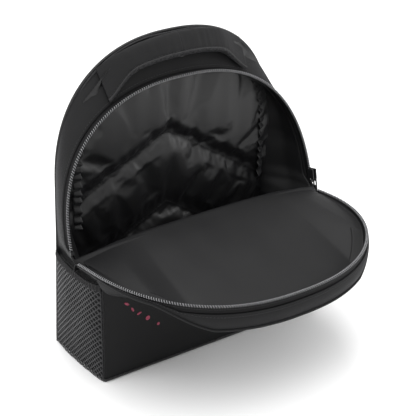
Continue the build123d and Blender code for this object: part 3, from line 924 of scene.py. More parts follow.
        bm = face_away(laid_grid(place, 100, 60, (0.32, 0.18)), Vector((0, 0.02, 0.1)))
        bmesh.ops.reverse_faces(bm, faces=bm.faces)
        sheet = thick(link("front_lining_cloth", bm, LINING), 0.5 * MM)
        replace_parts(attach(sheet, "body"), "front_lining")
        self._fold_flat(sheet)

    def back_panel(self) -> None:
        """The padded back: spacer mesh with two sewn channels and a lumbar break."""
        shape = self.shape
        low = 3 * MM
        beside, upper, lower = self.lumbar

        def place(u: float, v: float) -> Vector:
            """A point of the padded back."""
            z = low + (shape.crown_z - low - 1.5 * MM) * v
            if z <= shape.hinge.z:
                half = shape.half_base - shape.flare * z / shape.hinge.z
            else:
                half = shape.rear.width_at(z - shape.hinge.z)
            x = (2 * u - 1) * (half - 1.2 * MM)
            edge = min(half - abs(x), z - low, (shape.crown_z - z) * 1.2)
            pad = 5.5 * MM * ease(0, 16 * MM, edge)
            channel = min(abs(abs(x) - beside), abs(z - upper * shape.crown_z),
                          abs(z - lower * shape.crown_z))
            pad *= 0.25 + 0.75 * ease(0, 9 * MM, channel)
            y = shape.rear_y - 2.5 * MM + pad
            return Vector((x, y + ripple(Vector((x, y, z)), Vector((20, 1, 20)), 0.6 * MM, 4), z))

        bm = face_away(laid_grid(place, 110, 130, (0.31, 0.37)), Vector((0, 0, 0.16)))
        panel = thick(link("back_pad", bm, AIR_MESH), 2 * MM)
        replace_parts(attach(panel, "body"), "back_panel", "back_foam")


@dataclass
class QuiltedBack:
    """The quilted satin inside the back, with its bound seam."""

    shape: BagShape
    spacing: float = 3.0 * MM
    peak_x: float = -6 * MM
    peak_z: float = 252 * MM
    slopes: tuple[float, float] = (0.50, 0.63)
    end_x: float = 136 * MM
    repeat: float = 95 * MM
    chevrons: int = 3
    binding_in: float = 15 * MM

    def build(self) -> None:
        """Makes the quilting, its stitches and the binding."""
        self.quilt()
        self.binding()

    def _seam_z(self, x: float, k: int) -> float:
        """Height of the k-th chevron's seam at a place across."""
        slope = self.slopes[0] if x < self.peak_x else self.slopes[1]
        return self.peak_z - k * self.repeat - abs(x - self.peak_x) * slope

    def _seam_gap(self, x: float, z: float) -> float:
        """How far over or under the nearest chevron a place is."""
        return min(abs(z - self._seam_z(x, k)) for k in range(self.chevrons))

    def quilt(self) -> None:
        """Spare satin between sewn chevrons, settled into its own folds."""
        shape = self.shape
        face_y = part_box("back_lining")[0].y
        rows = round(2 * shape.half_base / self.spacing)
        columns = round(shape.crown_z / self.spacing)

        def place(u: float, v: float) -> Vector:
            """A flat sheet just inside the back."""
            x, z = (2 * u - 1) * (shape.half_base - 4 * MM), 6 * MM + v * (shape.crown_z - 9 * MM)
            seam = self._seam_gap(x, z)
            puff = 3.2 * MM * ease(0, 22 * MM, seam)
            crease = ripple(Vector((x, 0, z)), Vector((42, 1, 6)), 1.7 * MM, 8)
            pull = ripple(Vector((x, 0, z)), Vector((110, 1, 18)), 1.6 * MM, 2)
            pull *= 1 - ease(4 * MM, 34 * MM, seam)
            return Vector((x, face_y - puff - (crease + pull) * ease(0, 8 * MM, seam), z))

        bm = laid_grid(place, rows, columns, (0.31, 0.37))
        bm.faces.ensure_lookup_table()
        outside = [f for f in bm.faces if not self._inside(f.calc_center_median())]
        bmesh.ops.delete(bm, geom=outside, context="FACES")
        loose = [v for v in bm.verts if not v.link_faces]
        bmesh.ops.delete(bm, geom=loose, context="VERTS")
        facing(bm, (0, -1, 0))
        bm.verts.index_update()
        near = self.spacing * 0.6
        pins = [v.index for v in bm.verts if v.is_boundary or self._seam_gap(v.co.x, v.co.z) < near]
        sheet = link("back_quilting", bm, QUILT)
        settle(sheet, pins, swell=0.025, force=0.35, cap=4 * MM, bend=0.5)
        smooth = sheet.modifiers.new("fine", "SUBSURF")
        smooth.levels = smooth.render_levels = 1
        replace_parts(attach(sheet, "body"), "back_lining")
        for k in range(self.chevrons):
            line = []
            for x in np.linspace(-self.end_x - 10 * MM, self.end_x + 10 * MM, 120):
                z = self._seam_z(x, k)
                if z > 12 * MM:
                    line.append(Vector((x, face_y - 0.5 * MM, z)))
            left, right = [p for p in line if p.x < self.peak_x], [p for p in line if p.x > self.peak_x]
            for side, part in enumerate([line] if k < 2 else [left, right]):
                if len(part) > 3:
                    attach(stitches(f"quilt_stitches_{k}_{side}", part), "body")

    def _inside(self, p: Vector) -> bool:
        """Whether a point of the quilting lies inside the back's outline."""
        shape = self.shape
        if p.z <= shape.hinge.z:
            return abs(p.x) < shape.half_base - 5.5 * MM
        return abs(p.x) < shape.rear.width_at(p.z - shape.hinge.z + 4.5 * MM) - 4.0 * MM

    def binding(self) -> None:
        """The ruffled tape that binds the seam round the inside of the back."""
        shape = self.shape
        face_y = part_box("back_lining")[0].y
        width = 9 * MM

        def place(u: float, v: float) -> Vector:
            """A point of the ruffled tape."""
            inset = self.binding_in + width * v
            p = shape.rear_edge(u, -inset)
            along = u * shape.rear.length
            wave = math.sin(along * 2 * math.pi / 0.011 + 2.5 * noise.noise(Vector((along * 40, 0, 0))))
            stand = 3.4 * MM + 4.0 * MM * v + (0.8 + 1.5 * v) * MM * wave
            return Vector((p.x, face_y - stand, p.z))

        bm = laid_grid(place, 420, 6, (0.6, width))
        facing(bm, (0, -1, 0))
        tape = thick(link("inner_binding", bm, BINDING), 0.7 * MM)
        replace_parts(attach(tape, "body"), "back_binding")


# ---------------------------------------------------------------- zip
@dataclass
class Zip:
    """Both halves of the chain with their tapes, and the hardware."""

    shape: BagShape
    pitch: float = 3.0 * MM
    wire: float = 0.55 * MM
    across: float = 1.35 * MM
    deep: float = 1.15 * MM
    turns_step: int = 9
    first: float = 10 * MM

    def build(self) -> None:
        """Makes the coils and tapes, and dresses the metal pieces."""
        for body, rim in (("body", self.shape.body_rim), ("flap", self.shape.flap_rim)):
            outline = self.shape.rim if body == "body" else self.shape.flap
            self._half(body, rim, outline)
        for node in ("zip_slider", "zip_pull", "zip_stops"):
            dress(node, METAL)

    def _half(self, body: str, rim: Callable[[float, float, float], Vector], outline: Outline) -> None:
        """Makes one coil and its tape.

        Args:
            body: the CAD body it rides on.
            rim: gives a point for a share, a distance out and a distance behind.
            outline: the line it follows.
        """
        start = self.first / outline.length
        turns = int((1 - 2 * start) * outline.length / self.pitch)
        points = []
        for k in range(turns * self.turns_step):
            t = start + (1 - 2 * start) * k / (turns * self.turns_step)
            angle = 2 * math.pi * k / self.turns_step
            points.append(rim(t, -self.across + self.across * math.cos(angle),
                              0.6 * MM + self.deep + self.deep * math.sin(angle)))
        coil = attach(tube_along(f"{body}_coil", points, self.wire, COIL, sides=0), body)
        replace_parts(coil, f"{body}_zip_coil")
        cord = [rim(t, -self.across, 0.6 * MM + self.deep) for t in np.linspace(start, 1 - start, 260)]
        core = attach(tube_along(f"{body}_coil_core", cord, 0.75 * MM, TAPE, sides=1), body)

        def place(u: float, v: float) -> Vector:
            """A point of the tape."""
            t = start + (1 - 2 * start) * u
            reach = outline.at(t).y
            limit = min(0.6 * reach, 5.6 * MM + 0.05 * reach) if body == "flap" else 1.0
            down = 2.6 * MM + min(8.4 * MM, max(0.4 * MM, limit - 2.6 * MM)) * v
            return rim(t, -0.9 * MM - 0.7 * MM * math.sin(math.pi * v), down)

        bm = laid_grid(place, 300, 5, (outline.length, 8.4 * MM))
        centre = Vector((0, 0, 0.15)) if body == "body" else Vector((0, -0.1, 0.145))
        tape = thick(link(f"{body}_tape", face_away(bm, centre), TAPE), 0.8 * MM)
        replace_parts(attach(tape, body), f"{body}_zip_tape")
        seam = [rim(start + (1 - 2 * start) * u, 0.0, 5.0 * MM) for u in np.linspace(0.03, 0.97, 300)]
        row = stitches(f"{body}_tape_stitches", seam, length=1.8 * MM, pitch=2.8 * MM, radius=0.25 * MM)
        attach(row, body)
        if body == "flap":
            for piece in (coil, core, tape, row):
                shorten(self.shape, piece)


def shorten(shape: BagShape, piece: bpy.types.Object) -> None:
    """Gives a flap piece its own copy of its mesh."""
    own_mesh(piece)


def dress(node: str, finish: Finish) -> None:
    """Gives a CAD node its finish."""
    obj = bpy.data.objects[node]
    obj.data.materials.clear()
    obj.data.materials.append(finish.material())


# ---------------------------------------------------------------- flap
@dataclass
class Flap:
    """The fold-down front: gusset band, panel, linings and welted seam."""

    shape: BagShape
    band_top: float = 10.6 * MM
    deep: float = 31.0 * MM
    shallow: float = 3.0 * MM
    flange: float = 13 * MM
    crest_y: float = -30 * MM
    crest_rise: float = 18 * MM

    def build(self) -> None:
        """Makes every piece of the flap."""
        self.gusset()
        self.gusset_lining()
        self.floor_lining()
        self.panel()

    def _limit(self, t: float) -> float:
        """How deep the band may be before it meets the fold seam."""
        reach = self.shape.flap.at(t).y
        deepen = 27 * MM * ease(124 * MM, self.shape.flap.top, reach)
        return max(0.6 * MM, min(0.63 * reach, self.shallow + 0.04 * reach) + deepen)

    def _tuck(self, t: float, down: float) -> float:
        """How far the band leans in beside the fold, where the bag is narrower than the mouth."""
        near = 1 - ease(30 * MM, 110 * MM, self.shape.flap.at(t).y)
        return 17 * MM * near * (down / self.deep) ** 1.2

    def band(self, t: float, v: float, out: float = 0.0) -> Vector:
        """A point of the gusset band.

        Args:
            t: share round the rim.
            v: 0 at the tape's seam, 1 at the panel's seam.
            out: distance outside the band.

        Returns:
            The point, in the shared frame.
        """
        limit = self._limit(t)
        top, low = min(self.band_top, 0.58 * limit), min(self.deep, limit)
        down = top + (low - top) * v
        swell = 2.2 * MM * math.sin(math.pi * v) * min(1.0, (low - top) / (15 * MM))
        return self.shape.flap_rim(t, out + swell - self._tuck(t, down), down)

    def gusset(self) -> None:
        """The oxford band with a sewn lip by the tape and a welt by the panel."""
        def place(u: float, v: float) -> Vector:
            """A point of the band with soft ripples."""
            t = 0.018 + 0.964 * u
            lip = 1.0 * MM * (1 - ease(0, 0.14, v)) * ease(0, 0.03, v)
            p = self.band(t, v, lip)
            away = Vector((p.x, p.y + 0.08, 0)).normalized()
            return p + away * ripple(p, Vector((30, 30, 24)), 0.9 * MM, 9) * math.sin(math.pi * v)

        bm = face_away(laid_grid(place, 300, 14, (0.56, 0.02)), Vector((0, -0.09, 0.14)))
        skin = thick(link("flap_band", bm, OXFORD), 1.8 * MM)
        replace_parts(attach(skin, "flap"), "flap_gusset")
        shorten(self.shape, skin)
        line = []
        for u in np.linspace(0.06, 0.94, 380):
            p = place(u, 0.17)
            line.append(p + Vector((p.x, p.y + 0.08, 0)).normalized() * 0.2 * MM)
        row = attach(stitches("flap_band_stitches", line), "flap")
        shorten(self.shape, row)
        seam = [self.band(t, 1.0, 0.6 * MM) for t in np.linspace(0.018, 0.982, 300)]
        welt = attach(tube_along("flap_piping", seam, 1.5 * MM, PANEL, sides=2), "flap")
        shorten(self.shape, welt)

        def under(u: float, v: float) -> Vector:
            """The band's seam allowance, turned in under the panel."""
            t = 0.06 + 0.88 * u
            p = self.band(t, 1.0, -0.5 * MM - 9 * MM * v)
            return p + Vector((0, 0, -0.8 * MM))

        bm = laid_grid(under, 240, 3, (0.5, 9 * MM))
        facing(bm, (0, 0, -1))
        allowance = thick(link("flap_edge_binding", bm, PANEL), 0.8 * MM)
        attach(allowance, "flap")
        shorten(self.shape, allowance)

    def gusset_lining(self) -> None:
        """The satin wall inside the band, turned in over the floor."""
        def place(u: float, v: float) -> Vector:
            """Down the wall, round the corner and a little way across the floor."""
            t = 0.03 + 0.94 * u
            limit = self._limit(t)
            low = min(self.deep - 5 * MM, limit)
            wall = min(1.0, v / 0.66)
            turn = max(0.0, (v - 0.66) / 0.34)
            down = 2.2 * MM + (low - 2.2 * MM) * math.sin(wall * math.pi / 2) ** 0.9
            inset = 3.4 * MM + 2.5 * MM * wall ** 2 + self.flange * turn + self._tuck(t, down)
            p = self.shape.flap_rim(t, -inset, down - 1.5 * MM * turn)
            loose = ripple(p, Vector((20, 20, 12)), 1.8 * MM, 31) * math.sin(math.pi * v)
            inward = Vector((-p.x, -0.08 - p.y, 0)).normalized()
            return p + inward * loose

        bm = face_away(laid_grid(place, 260, 18, (0.54, 0.045)), Vector((0, -0.08, 0.4)))
        bmesh.ops.reverse_faces(bm, faces=bm.faces)
        sheet = thick(link("flap_wall_lining", bm, LINING), 0.5 * MM, offset=0.0)
        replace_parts(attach(sheet, "flap"), "flap_gusset_lining")
        shorten(self.shape, sheet)

    def crest(self, t: float) -> Vector:
        """A point on top of the fold, from the left zip end to the right."""
        x = -math.cos(math.pi * t)
        half = self.shape.rim.half - 6 * MM
        rise = self.crest_rise * (1 - abs(x) ** 4) - 1.5 * MM * abs(x)
        y = self.crest_y * (1 - abs(x) ** 4) + (self.shape.hinge.y - 1 * MM) * abs(x) ** 4
        return Vector((half * x, y, self.shape.hinge.z + rise))

    def floor_point(self, t: float, w: float, under: float) -> Vector:
        """A point of the flap's floor.

        Args:
            t: share round the rim.
            w: 0 under the wall lining, 1 on the fold's crest, more behind it.
            under: distance under the visible floor.

        Returns:
            The point, in the shared frame.
        """
        down = min(self.deep - 4.5 * MM, self._limit(t)) + under
        edge = self.shape.flap_rim(t, -8 * MM - self._tuck(t, down), down)
        top = self.crest(t)
        if w <= 1:
            p = edge.lerp(top, w)
            low = edge.z + (top.z - under - edge.z) * w ** 1.25
            pillow = 7.0 * MM * math.sin(math.pi * w ** 0.8) * math.sin(math.pi * t)
            p.z = low + pillow * (1 if under == 0 else 0.3)
            return p
        back = (w - 1) / 0.12
        return top + Vector((0, 9 * MM * math.sin(back * math.pi / 2), -14 * MM * back ** 1.6 - under))

    def floor_lining(self) -> None:
        """The smooth satin floor that rolls over the fold's crest into the bag."""
        def place(u: float, v: float) -> Vector:
            """A point of the floor with broad soft folds."""
            w = 1.12 * v
            t = 0.02 + 0.96 * u
            p = self.floor_point(t, w, 0.0)
            soft = ripple(p, Vector((11, 16, 1)), 2.2 * MM, 14) + ripple(p, Vector((30, 12, 1)), 0.8 * MM, 17)
            held = ease(0, 0.15, w) * (1 - ease(0.9, 1.05, w))
            return p + Vector((0, 0, soft * held * math.sin(math.pi * u)))

        bm = laid_grid(place, 150, 80, (0.45, 0.2))
        facing(bm, (0, 0, 1))
        sheet = thick(link("flap_floor_lining", bm, LINING), 0.6 * MM)
        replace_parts(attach(sheet, "flap"), "flap_lining")
        self._flatten(sheet)

    def panel(self) -> None:
        """The front panel's moving half, seen from below, or in front when the bag is closed."""
        low_z = self.shape.flap_low + 0.8 * MM

        def place(u: float, v: float) -> Vector:
            """Flat under the tray, rising along the fold."""
            t = 0.02 + 0.96 * u
            p = self.floor_point(t, 1.12 * v, 3.2 * MM)
            flat = low_z + 1.4 * MM * noise.noise(Vector((p.x * 9, p.y * 9, 0)))
            rim_z = self.shape.flap_rim(t, 0.0, min(self.deep, self._limit(t))).z - 1.0 * MM
            flat += max(0.0, rim_z - low_z) * (1 - ease(0.0, 0.6, 1.12 * v))
            climb = ease(-66 * MM, -34 * MM, p.y)
            side = ease(self.shape.half_base - 6 * MM, self.shape.half_base + 10 * MM, abs(p.x))
            climb = max(climb, side * ease(-62 * MM, -40 * MM, p.y))
            p.z = min(p.z - 2 * MM, flat + (p.z - flat) * climb)
            return p

        bm = laid_grid(place, 150, 80, (0.45, 0.2))
        facing(bm, (0, 0, -1))
        sheet = thick(link("flap_face", bm, PANEL), 1.2 * MM)
        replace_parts(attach(sheet, "flap"), "flap_panel")
        self._flatten(sheet)

    def _flatten(self, piece: bpy.types.Object) -> None:
        """Gives the piece its own copy of its mesh."""
        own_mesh(piece)


@dataclass
class FoldGores:
    """The side cloth that folds away at each zip end."""

    shape: BagShape
    thick_at_rest: float = 3.2 * MM

    def build(self) -> None:
        """Makes both gores."""
        for side, sign in (("left", -1), ("right", 1)):
            self._gore(side, sign)

    def _gore(self, side: str, sign: int) -> None:
        """One gore: a sliver along the fold seam."""
        shape = self.shape
        fall = Vector((0, shape.front_y - shape.hinge.y, shape.fold_z - shape.hinge.z))
        across = Vector((0, fall.z, -fall.y)).normalized()
        if across.y > 0:
            across = -across

        def place(u: float, v: float) -> Vector:
            """A point along the seam and through the fold."""
            z = shape.hinge.z + fall.z * u
            p = shape.front_edge_low(z)
            bend = 0.8 * MM * math.sin(math.pi * v) * math.sin(math.pi * u)
            p = Vector((sign * (p.x - 1.4 * MM + bend), p.y, p.z))
            return p + across * self.thick_at_rest * (v - 0.5)

        bm = laid_grid(place, 16, 18, (43 * MM, 70 * MM))
        facing(bm, (sign, 0, 0))
        gore = thick(link(f"fold_gore_{side}", bm, OXFORD), 1.2 * MM)
        middle = place(0.5, 0.5)
        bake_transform(gore)


# ---------------------------------------------------------------- pockets
@dataclass
class SidePocket:
    """One stretch-net pocket with its gathered hem."""

    shape: BagShape
    side: str
    cell: float = 5.4 * MM
    strand: float = 1.5 * MM
    hem: float = 10 * MM

    def build(self) -> None:
        """Makes the net and the hem."""
        self.sign = -1 if self.side == "left" else 1
        self.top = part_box(f"pocket_hem_{self.side}")[0].z
        self.net()
        self.gathered_hem()

    def place(self, u: float, z: float, out: float = 0.0) -> Vector:
        """A point of the pocket's cloth.

        Args:
            u: 0 at the front seam, 1 at the rear seam.
            z: height.
            out: distance outside the cloth.

        Returns:
            The point, in the shared frame.
        """
        shape = self.shape
        y = shape.front_y + 1.2 * MM + (shape.rear_y - shape.front_y - 4 * MM) * u
        full = (1 - abs(2 * u - 1) ** 5)
        share = max(0.0, min(1.15, z / self.top))
        room = (1.0 * MM + 6.0 * MM * share ** 0.8) * full * ease(-0.15, 0.25, share)
        front_x, rear_x = shape.front_edge_low(z).x, shape.half_base - shape.flare * z / shape.hinge.z
        skin = front_x + (rear_x - front_x) * u + 1.6 * MM + shape.swell * 4 * u * (1 - u)
        sag = ripple(Vector((0, y, z)), Vector((1, 30, 22)), 1.2 * MM, 40 + self.sign) * full
        return Vector((self.sign * (skin + room + sag + out), y, z))

    def net(self) -> None:
        """Real holes between knitted strands, on the bias."""
        width = self.shape.rear_y - self.shape.front_y
        side = max(width, self.top) * 1.5
        count = round(side / self.cell)
        bm = bmesh.new()
        bmesh.ops.create_grid(bm, x_segments=count, y_segments=count, size=side / 2)
        bmesh.ops.rotate(bm, cent=(0, 0, 0), matrix=Matrix.Rotation(math.radians(45), 3, "Z"), verts=bm.verts)
        bmesh.ops.scale(bm, vec=(1.0, 0.96, 1), verts=bm.verts)
        for point, normal in (((-width / 2, 0, 0), (-1, 0, 0)), ((width / 2, 0, 0), (1, 0, 0)),
                              ((0, -self.top / 2, 0), (0, -1, 0)), ((0, self.top / 2, 0), (0, 1, 0))):
            bmesh.ops.bisect_plane(bm, geom=[*bm.verts, *bm.edges, *bm.faces], dist=0.01 * MM, plane_co=point,
                                   plane_no=normal, clear_outer=True)
        full = [f for f in bm.faces if f.calc_area() > 0.3 * self.cell ** 2]
        bmesh.ops.inset_individual(bm, faces=full, thickness=self.strand / 2, use_even_offset=True)
        bmesh.ops.delete(bm, geom=full, context="FACES_ONLY")
        uv = bm.loops.layers.uv.new("UVMap")
        for face in bm.faces:
            for loop in face.loops:
                loop[uv].uv = loop.vert.co.xy
        for vert in bm.verts:
            flat = vert.co.copy()
            vert.co = self.place(flat.x / width + 0.5, min(self.top, max(1.0 * MM, flat.y + self.top / 2)))
        facing(bm, (self.sign, 0, 0))
        net = thick(link(f"pocket_net_{self.side}", bm, NET), 0.6 * MM)
        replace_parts(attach(net, "body"), f"pocket_mesh_{self.side}")

    def gathered_hem(self) -> None:
        """The folded hem with its elastic, drawn into small gathers."""
        def ring(u: float, v: float) -> Vector:
            """A point of the hem's section, all the way round."""
            turn = 2 * math.pi * v
            z = self.top + self.hem * (0.42 + 0.5 * math.sin(turn))
            gather = 0.45 * MM * math.sin(u * 2 * math.pi * 26 + 2 * noise.noise(Vector((u * 9, 0, 0))))
            out = ((1.7 * MM + gather) * math.cos(turn) - 0.4 * MM) * ease(-0.02, 0.05, min(u, 1 - u))
            return self.place(u, z, out)

        bm = laid_grid(ring, 160, 18, (0.107, 0.022), close=True)
        bmesh.ops.holes_fill(bm, edges=[e for e in bm.edges if e.is_boundary], sides=0)
        outward(bm)
        hem = link(f"pocket_hem_cloth_{self.side}", bm, OXFORD)
        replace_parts(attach(hem, "body"), f"pocket_hem_{self.side}", f"pocket_elastic_{self.side}")
        for row, share in (("low", 0.1), ("high", 0.72)):
            line = [self.place(u, self.top + self.hem * share, 1.2 * MM)
                    for u in np.linspace(0.02, 0.98, 100)]
            seam = stitches(f"pocket_stitches_{row}_{self.side}", line, length=2 * MM, pitch=3.2 * MM)
            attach(seam, "body")


# ---------------------------------------------------------------- haul handle
@dataclass
class HaulHandle:
    """The padded handle across the crown, wide at its sewn ends."""

    shape: BagShape
    reach: float = 101 * MM
    width_end: float = 42 * MM
    width_mid: float = 27 * MM
    deep_mid: float = 9.0 * MM
    deep_end: float = 2.4 * MM
    lift: float = 9.0 * MM
    round_by: float = 0.62

    def build(self) -> None:
        """Makes both halves of the cover and of the mesh underside."""
        self.marks = self._shares()
        for half, (a, b) in (("left", (0.0, 0.5)), ("right", (0.5, 1.0))):
            cover = self._skin(f"handle_top_{half}", a, b, -0.10, 0.40, OXFORD)
            mesh = self._skin(f"handle_under_{half}", a, b, 0.37, 0.92, AIR_MESH)
            rim = [self.section(a + (b - a) * k / 60, 0.385, 0.4 * MM) for k in range(61)]
            cord = tube_along(f"handle_welt_{half}", rim, 1.0 * MM, BINDING, sides=1)
            row = [self.section(a + (b - a) * k / 80, 0.35, 0.3 * MM) for k in range(81)]
            thread = stitches(f"handle_stitches_{half}", row)
            for piece in (cover, mesh, cord, thread):
                self._blend(piece)
            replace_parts(cover, "handle_cover", "handle_foam")
            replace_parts(mesh, "handle_mesh")

    def _shares(self) -> tuple[float, float]:
        """Where the handle's ends sit on the way round the mouth."""
        line = [(self.shape.side(t, 0.55).x, t) for t in np.linspace(0.2, 0.8, 400)]
        left = min(line, key=lambda xt: abs(xt[0] + self.reach))[1]
        right = min(line, key=lambda xt: abs(xt[0] - self.reach))[1]
        return left, right

    def section(self, u: float, v: float, grow: float = 0.0) -> Vector:
        """A point of the handle's skin.

        Args:
            u: 0 at the left end, 1 at the right.
            v: share of the way round the section: 0 and 0.5 are its rear and front edges.
            grow: distance outside the skin.

        Returns:
            The point, in the shared frame.
        """
        left, right = self.marks
        t = left + (right - left) * u
        arch = math.sin(math.pi * u)
        free = ease(0.0, 0.22, min(u, 1 - u))
        front, rear = self.shape.side(t, 0.04), self.shape.side(t, 0.97)
        across = (rear - front).normalized()
        span = (rear - front).length
        width = min(span, self.width_end) * (1 - free) + self.width_mid * free
        along = (self.shape.side(t + 0.01, 0.5) - self.shape.side(t - 0.01, 0.5)).normalized()
        out = along.cross(across)
        if out.z < 0:
            out = -out
        deep = self.deep_end + (self.deep_mid - self.deep_end) * free
        base = front.lerp(rear, 0.5) + across * (7.5 * MM * free)
        middle = base + out * (deep / 2 + 3.2 * MM + self.lift * arch ** 1.5 * free)
        turn = 2 * math.pi * v
        c, s = math.cos(turn), math.sin(turn)
        x = squared(c, self.round_by) * (width / 2 + grow)
        y = squared(s, self.round_by) * (deep / 2 + grow)
        crease = 0.5 * MM * noise.noise(Vector((u * 34, v * 5, 1.0))) * free
        return middle + across * x + out * (y + crease)

    def _skin(self, name: str, a: float, b: float, v0: float, v1: float, finish: Finish) -> bpy.types.Object:
        """A part of the handle's skin.

        Args:
            name: the piece's name.
            a: share of the handle's length where it starts.
            b: share where it ends.
            v0: share of the section where it starts.
            v1: share where it ends.
            finish: its cloth.

        Returns:
            The object.
        """
        crinkle = 0.8 * MM if finish is AIR_MESH else 0.0

        def place(u: float, v: float) -> Vector:
            """A point of the skin with its crinkles."""
            s, r = a + (b - a) * u, v0 + (v1 - v0) * v
            wave = math.sin(s * 230 + r * 30 + 3 * noise.noise(Vector((s * 30, r * 4, 3.0))))
            wave += 0.8 * noise.noise(Vector((s * 120, r * 14, 6.0)))
            free = ease(0.05, 0.2, min(s, 1 - s))
            edge = ease(-0.01, 0.06, min(v, 1 - v))
            return self.section(s, r, (crinkle * wave + 2 * crinkle) * free * edge)

        bm = laid_grid(place, 110, 26, (0.11, 0.045))
        middle = self.section((a + b) / 2, 0.25).lerp(self.section((a + b) / 2, 0.75), 0.5)
        return thick(link(name, face_away(bm, middle), finish), 0.8 * MM)

    def _blend(self, piece: bpy.types.Object) -> None:
        """Bakes the piece's placement into its mesh."""
        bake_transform(piece)


# ---------------------------------------------------------------- straps
@dataclass
class ShoulderStrap:
    """One padded shoulder strap with its webbing, on the back."""

    shape: BagShape
    side: str
    bow: float = 55 * MM
    pad_start: float = 44 * MM
    pad_foot: float = 103 * MM
    width: float = 58 * MM
    deep: float = 10.5 * MM
    web: float = 25 * MM
    web_deep: float = 1.6 * MM

    def build(self) -> None:
        """Makes the pad, its edge binding and every run of webbing."""
        self.sign = -1 if self.side == "left" else 1
        joints = {j["name"]: j for j in self.shape.frame["joints"]}
        joint = joints[f"strap_{self.side}_swing"]
        self.top = Vector(joint["pos_m"])
        self.line = Vector(joint["axis"]).normalized()
        low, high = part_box(f"strap_anchor_{self.side}")
        foot = (low + high) / 2
        self.chord = (foot.z - self.top.z) / self.line.z
        self.radius = (self.chord ** 2 / 4 + self.bow ** 2) / (2 * self.bow)
        self.half_turn = math.asin(self.chord / 2 / self.radius)
        self.pad_end = 2 * self.half_turn * self.radius - self.pad_foot
        self.across = self.line.cross(Vector((0, 1, 0))).normalized()
        self.body = f"strap_{self.side}"
        self.pad()
        self.webbing()
        dress(f"strap_buckle_{self.side}", PLASTIC)

    def at(self, along: float, lift: float, aside: float) -> Vector:
        """A point of the strap.

        Args:
            along: distance along its middle line from the upper anchor.
            lift: height over that line.
            aside: distance across.

        Returns:
            The point, in the shared frame.
        """
        turn = along / self.radius - self.half_turn
        r = self.radius + lift
        x = self.chord / 2 + r * math.sin(turn)
        y = self.bow - self.radius + r * math.cos(turn)
        return self.top + self.line * x + Vector((0, y, 0)) + self.across * aside

    def pad(self) -> None:
        """The contoured pad: cloth on the outside, spacer mesh on the inside."""
        length = self.pad_end - self.pad_start

        def skin(u: float, v: float, grow: float = 0.0) -> Vector:
            """A point of the pad's section."""
            along = self.pad_start + 1.5 * MM + (length - 3 * MM) * u
            ends = min(1.0, math.sqrt(max(0.0, 1 - (abs(2 * u - 1)) ** 14)) + 0.02)
            taper = self.width * (1 - 0.34 * ease(0.72, 1.0, u) - 0.16 * ease(0.25, 0.0, u)) * ends
            turn = 2 * math.pi * v
            c, s = math.cos(turn), math.sin(turn)
            aside = squared(c, 0.75) * (taper / 2 + grow)
            puff = self.deep / 2 * (0.82 + 0.18 * math.sin(math.pi * u)) * ends
            lift = squared(s, 0.7) * (puff + grow)
            p = self.at(along, lift, aside)
            return p + Vector((0, ripple(p, Vector((40, 40, 40)), 0.35 * MM, 60), 0))

        for name, v0, v1, finish, node in (("cover", -0.01, 0.51, OXFORD, ("strap_cover", "strap_foam")),
                                           ("mesh", 0.49, 1.01, AIR_MESH, ("strap_mesh",))):
            bm = laid_grid(lambda u, v: skin(u, v0 + (v1 - v0) * v), 90, 26, (length, 0.065))
            mids = [(face, face.calc_center_median()) for face in bm.faces]
            if sum(face.normal.dot(mid - self._nearest(mid)) * face.calc_area() for face, mid in mids) < 0:
                bmesh.ops.reverse_faces(bm, faces=bm.faces)
            piece = thick(link(f"strap_{name}_cloth_{self.side}", bm, finish), 0.8 * MM)
            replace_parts(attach(piece, self.body), *[f"{n}_{self.side}" for n in node])
        edge = [skin(u, 0.0, 0.2 * MM) for u in np.linspace(0, 1, 70)]
        edge += [skin(u, 0.5, 0.2 * MM) for u in np.linspace(1, 0, 70)]
        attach(tube_along(f"strap_binding_{self.side}", edge, 1.6 * MM, BINDING, closed=True, sides=2),
                self.body)
        row = [skin(u, 0.06, 0.1 * MM) for u in np.linspace(0.03, 0.97, 110)]
        row += [skin(u, 0.44, 0.1 * MM) for u in np.linspace(0.97, 0.03, 110)]
        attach(stitches(f"strap_stitches_{self.side}", row), self.body)

    def _nearest(self, p: Vector) -> Vector:
        """The point of the strap's middle line beside a place."""
        rel = p - self.top
        x = rel.dot(self.line)
        y = rel.y
        turn = math.atan2(x - self.chord / 2, y - (self.bow - self.radius))
        aside = rel.dot(self.across)
        flat = math.copysign(max(0.0, abs(aside) - self.deep / 2), aside)
        return self.at((turn + self.half_turn) * self.radius, 0, flat)

    def _ribbon(self, name: str, place: Callable[[float, float, float], Vector], length: float,
                body: str, node: str) -> None:
        """A run of webbing with soft edges, replacing its CAD slab.

        Args:
            name: the piece's name.
            place: gives a point for shares along and across and a height.
            length: the run's length.
            body: the CAD body.
            node: the CAD node it stands for.
        """
        def ring(u: float, v: float) -> Vector:
            """Round the ribbon's section."""
            turn = 2 * math.pi * v
            c, s = math.cos(turn), math.sin(turn)
            aside = squared(c, 0.35)
            return place(u, aside, squared(s, 0.6) * self.web_deep / 2)

        rows = max(6, round(length / (3 * MM)))
        bm = outward(laid_grid(ring, rows, 20, (length, 2 * self.web), close=True))
        bmesh.ops.holes_fill(bm, edges=[e for e in bm.edges if e.is_boundary], sides=0)
        outward(bm)
        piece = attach(link(name, bm, WEBBING), body)
        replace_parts(piece, node)

    def webbing(self) -> None:
        """Head, loop, adjusting run and hanging tail."""
        half = self.web / 2
        for node in ("strap_head", "strap_loop", "strap_webbing"):
            start, end = self._span(f"{node}_{self.side}")
            self._ribbon(f"{node}_web_{self.side}",
                         lambda u, a, h, s=start, e=end: self.at(s + (e - s) * u, h, a * half),
                         end - start, self.body, f"{node}_{self.side}")
        low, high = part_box(f"strap_tail_{self.side}")
        middle = (low + high) / 2
        long = high.z - low.z

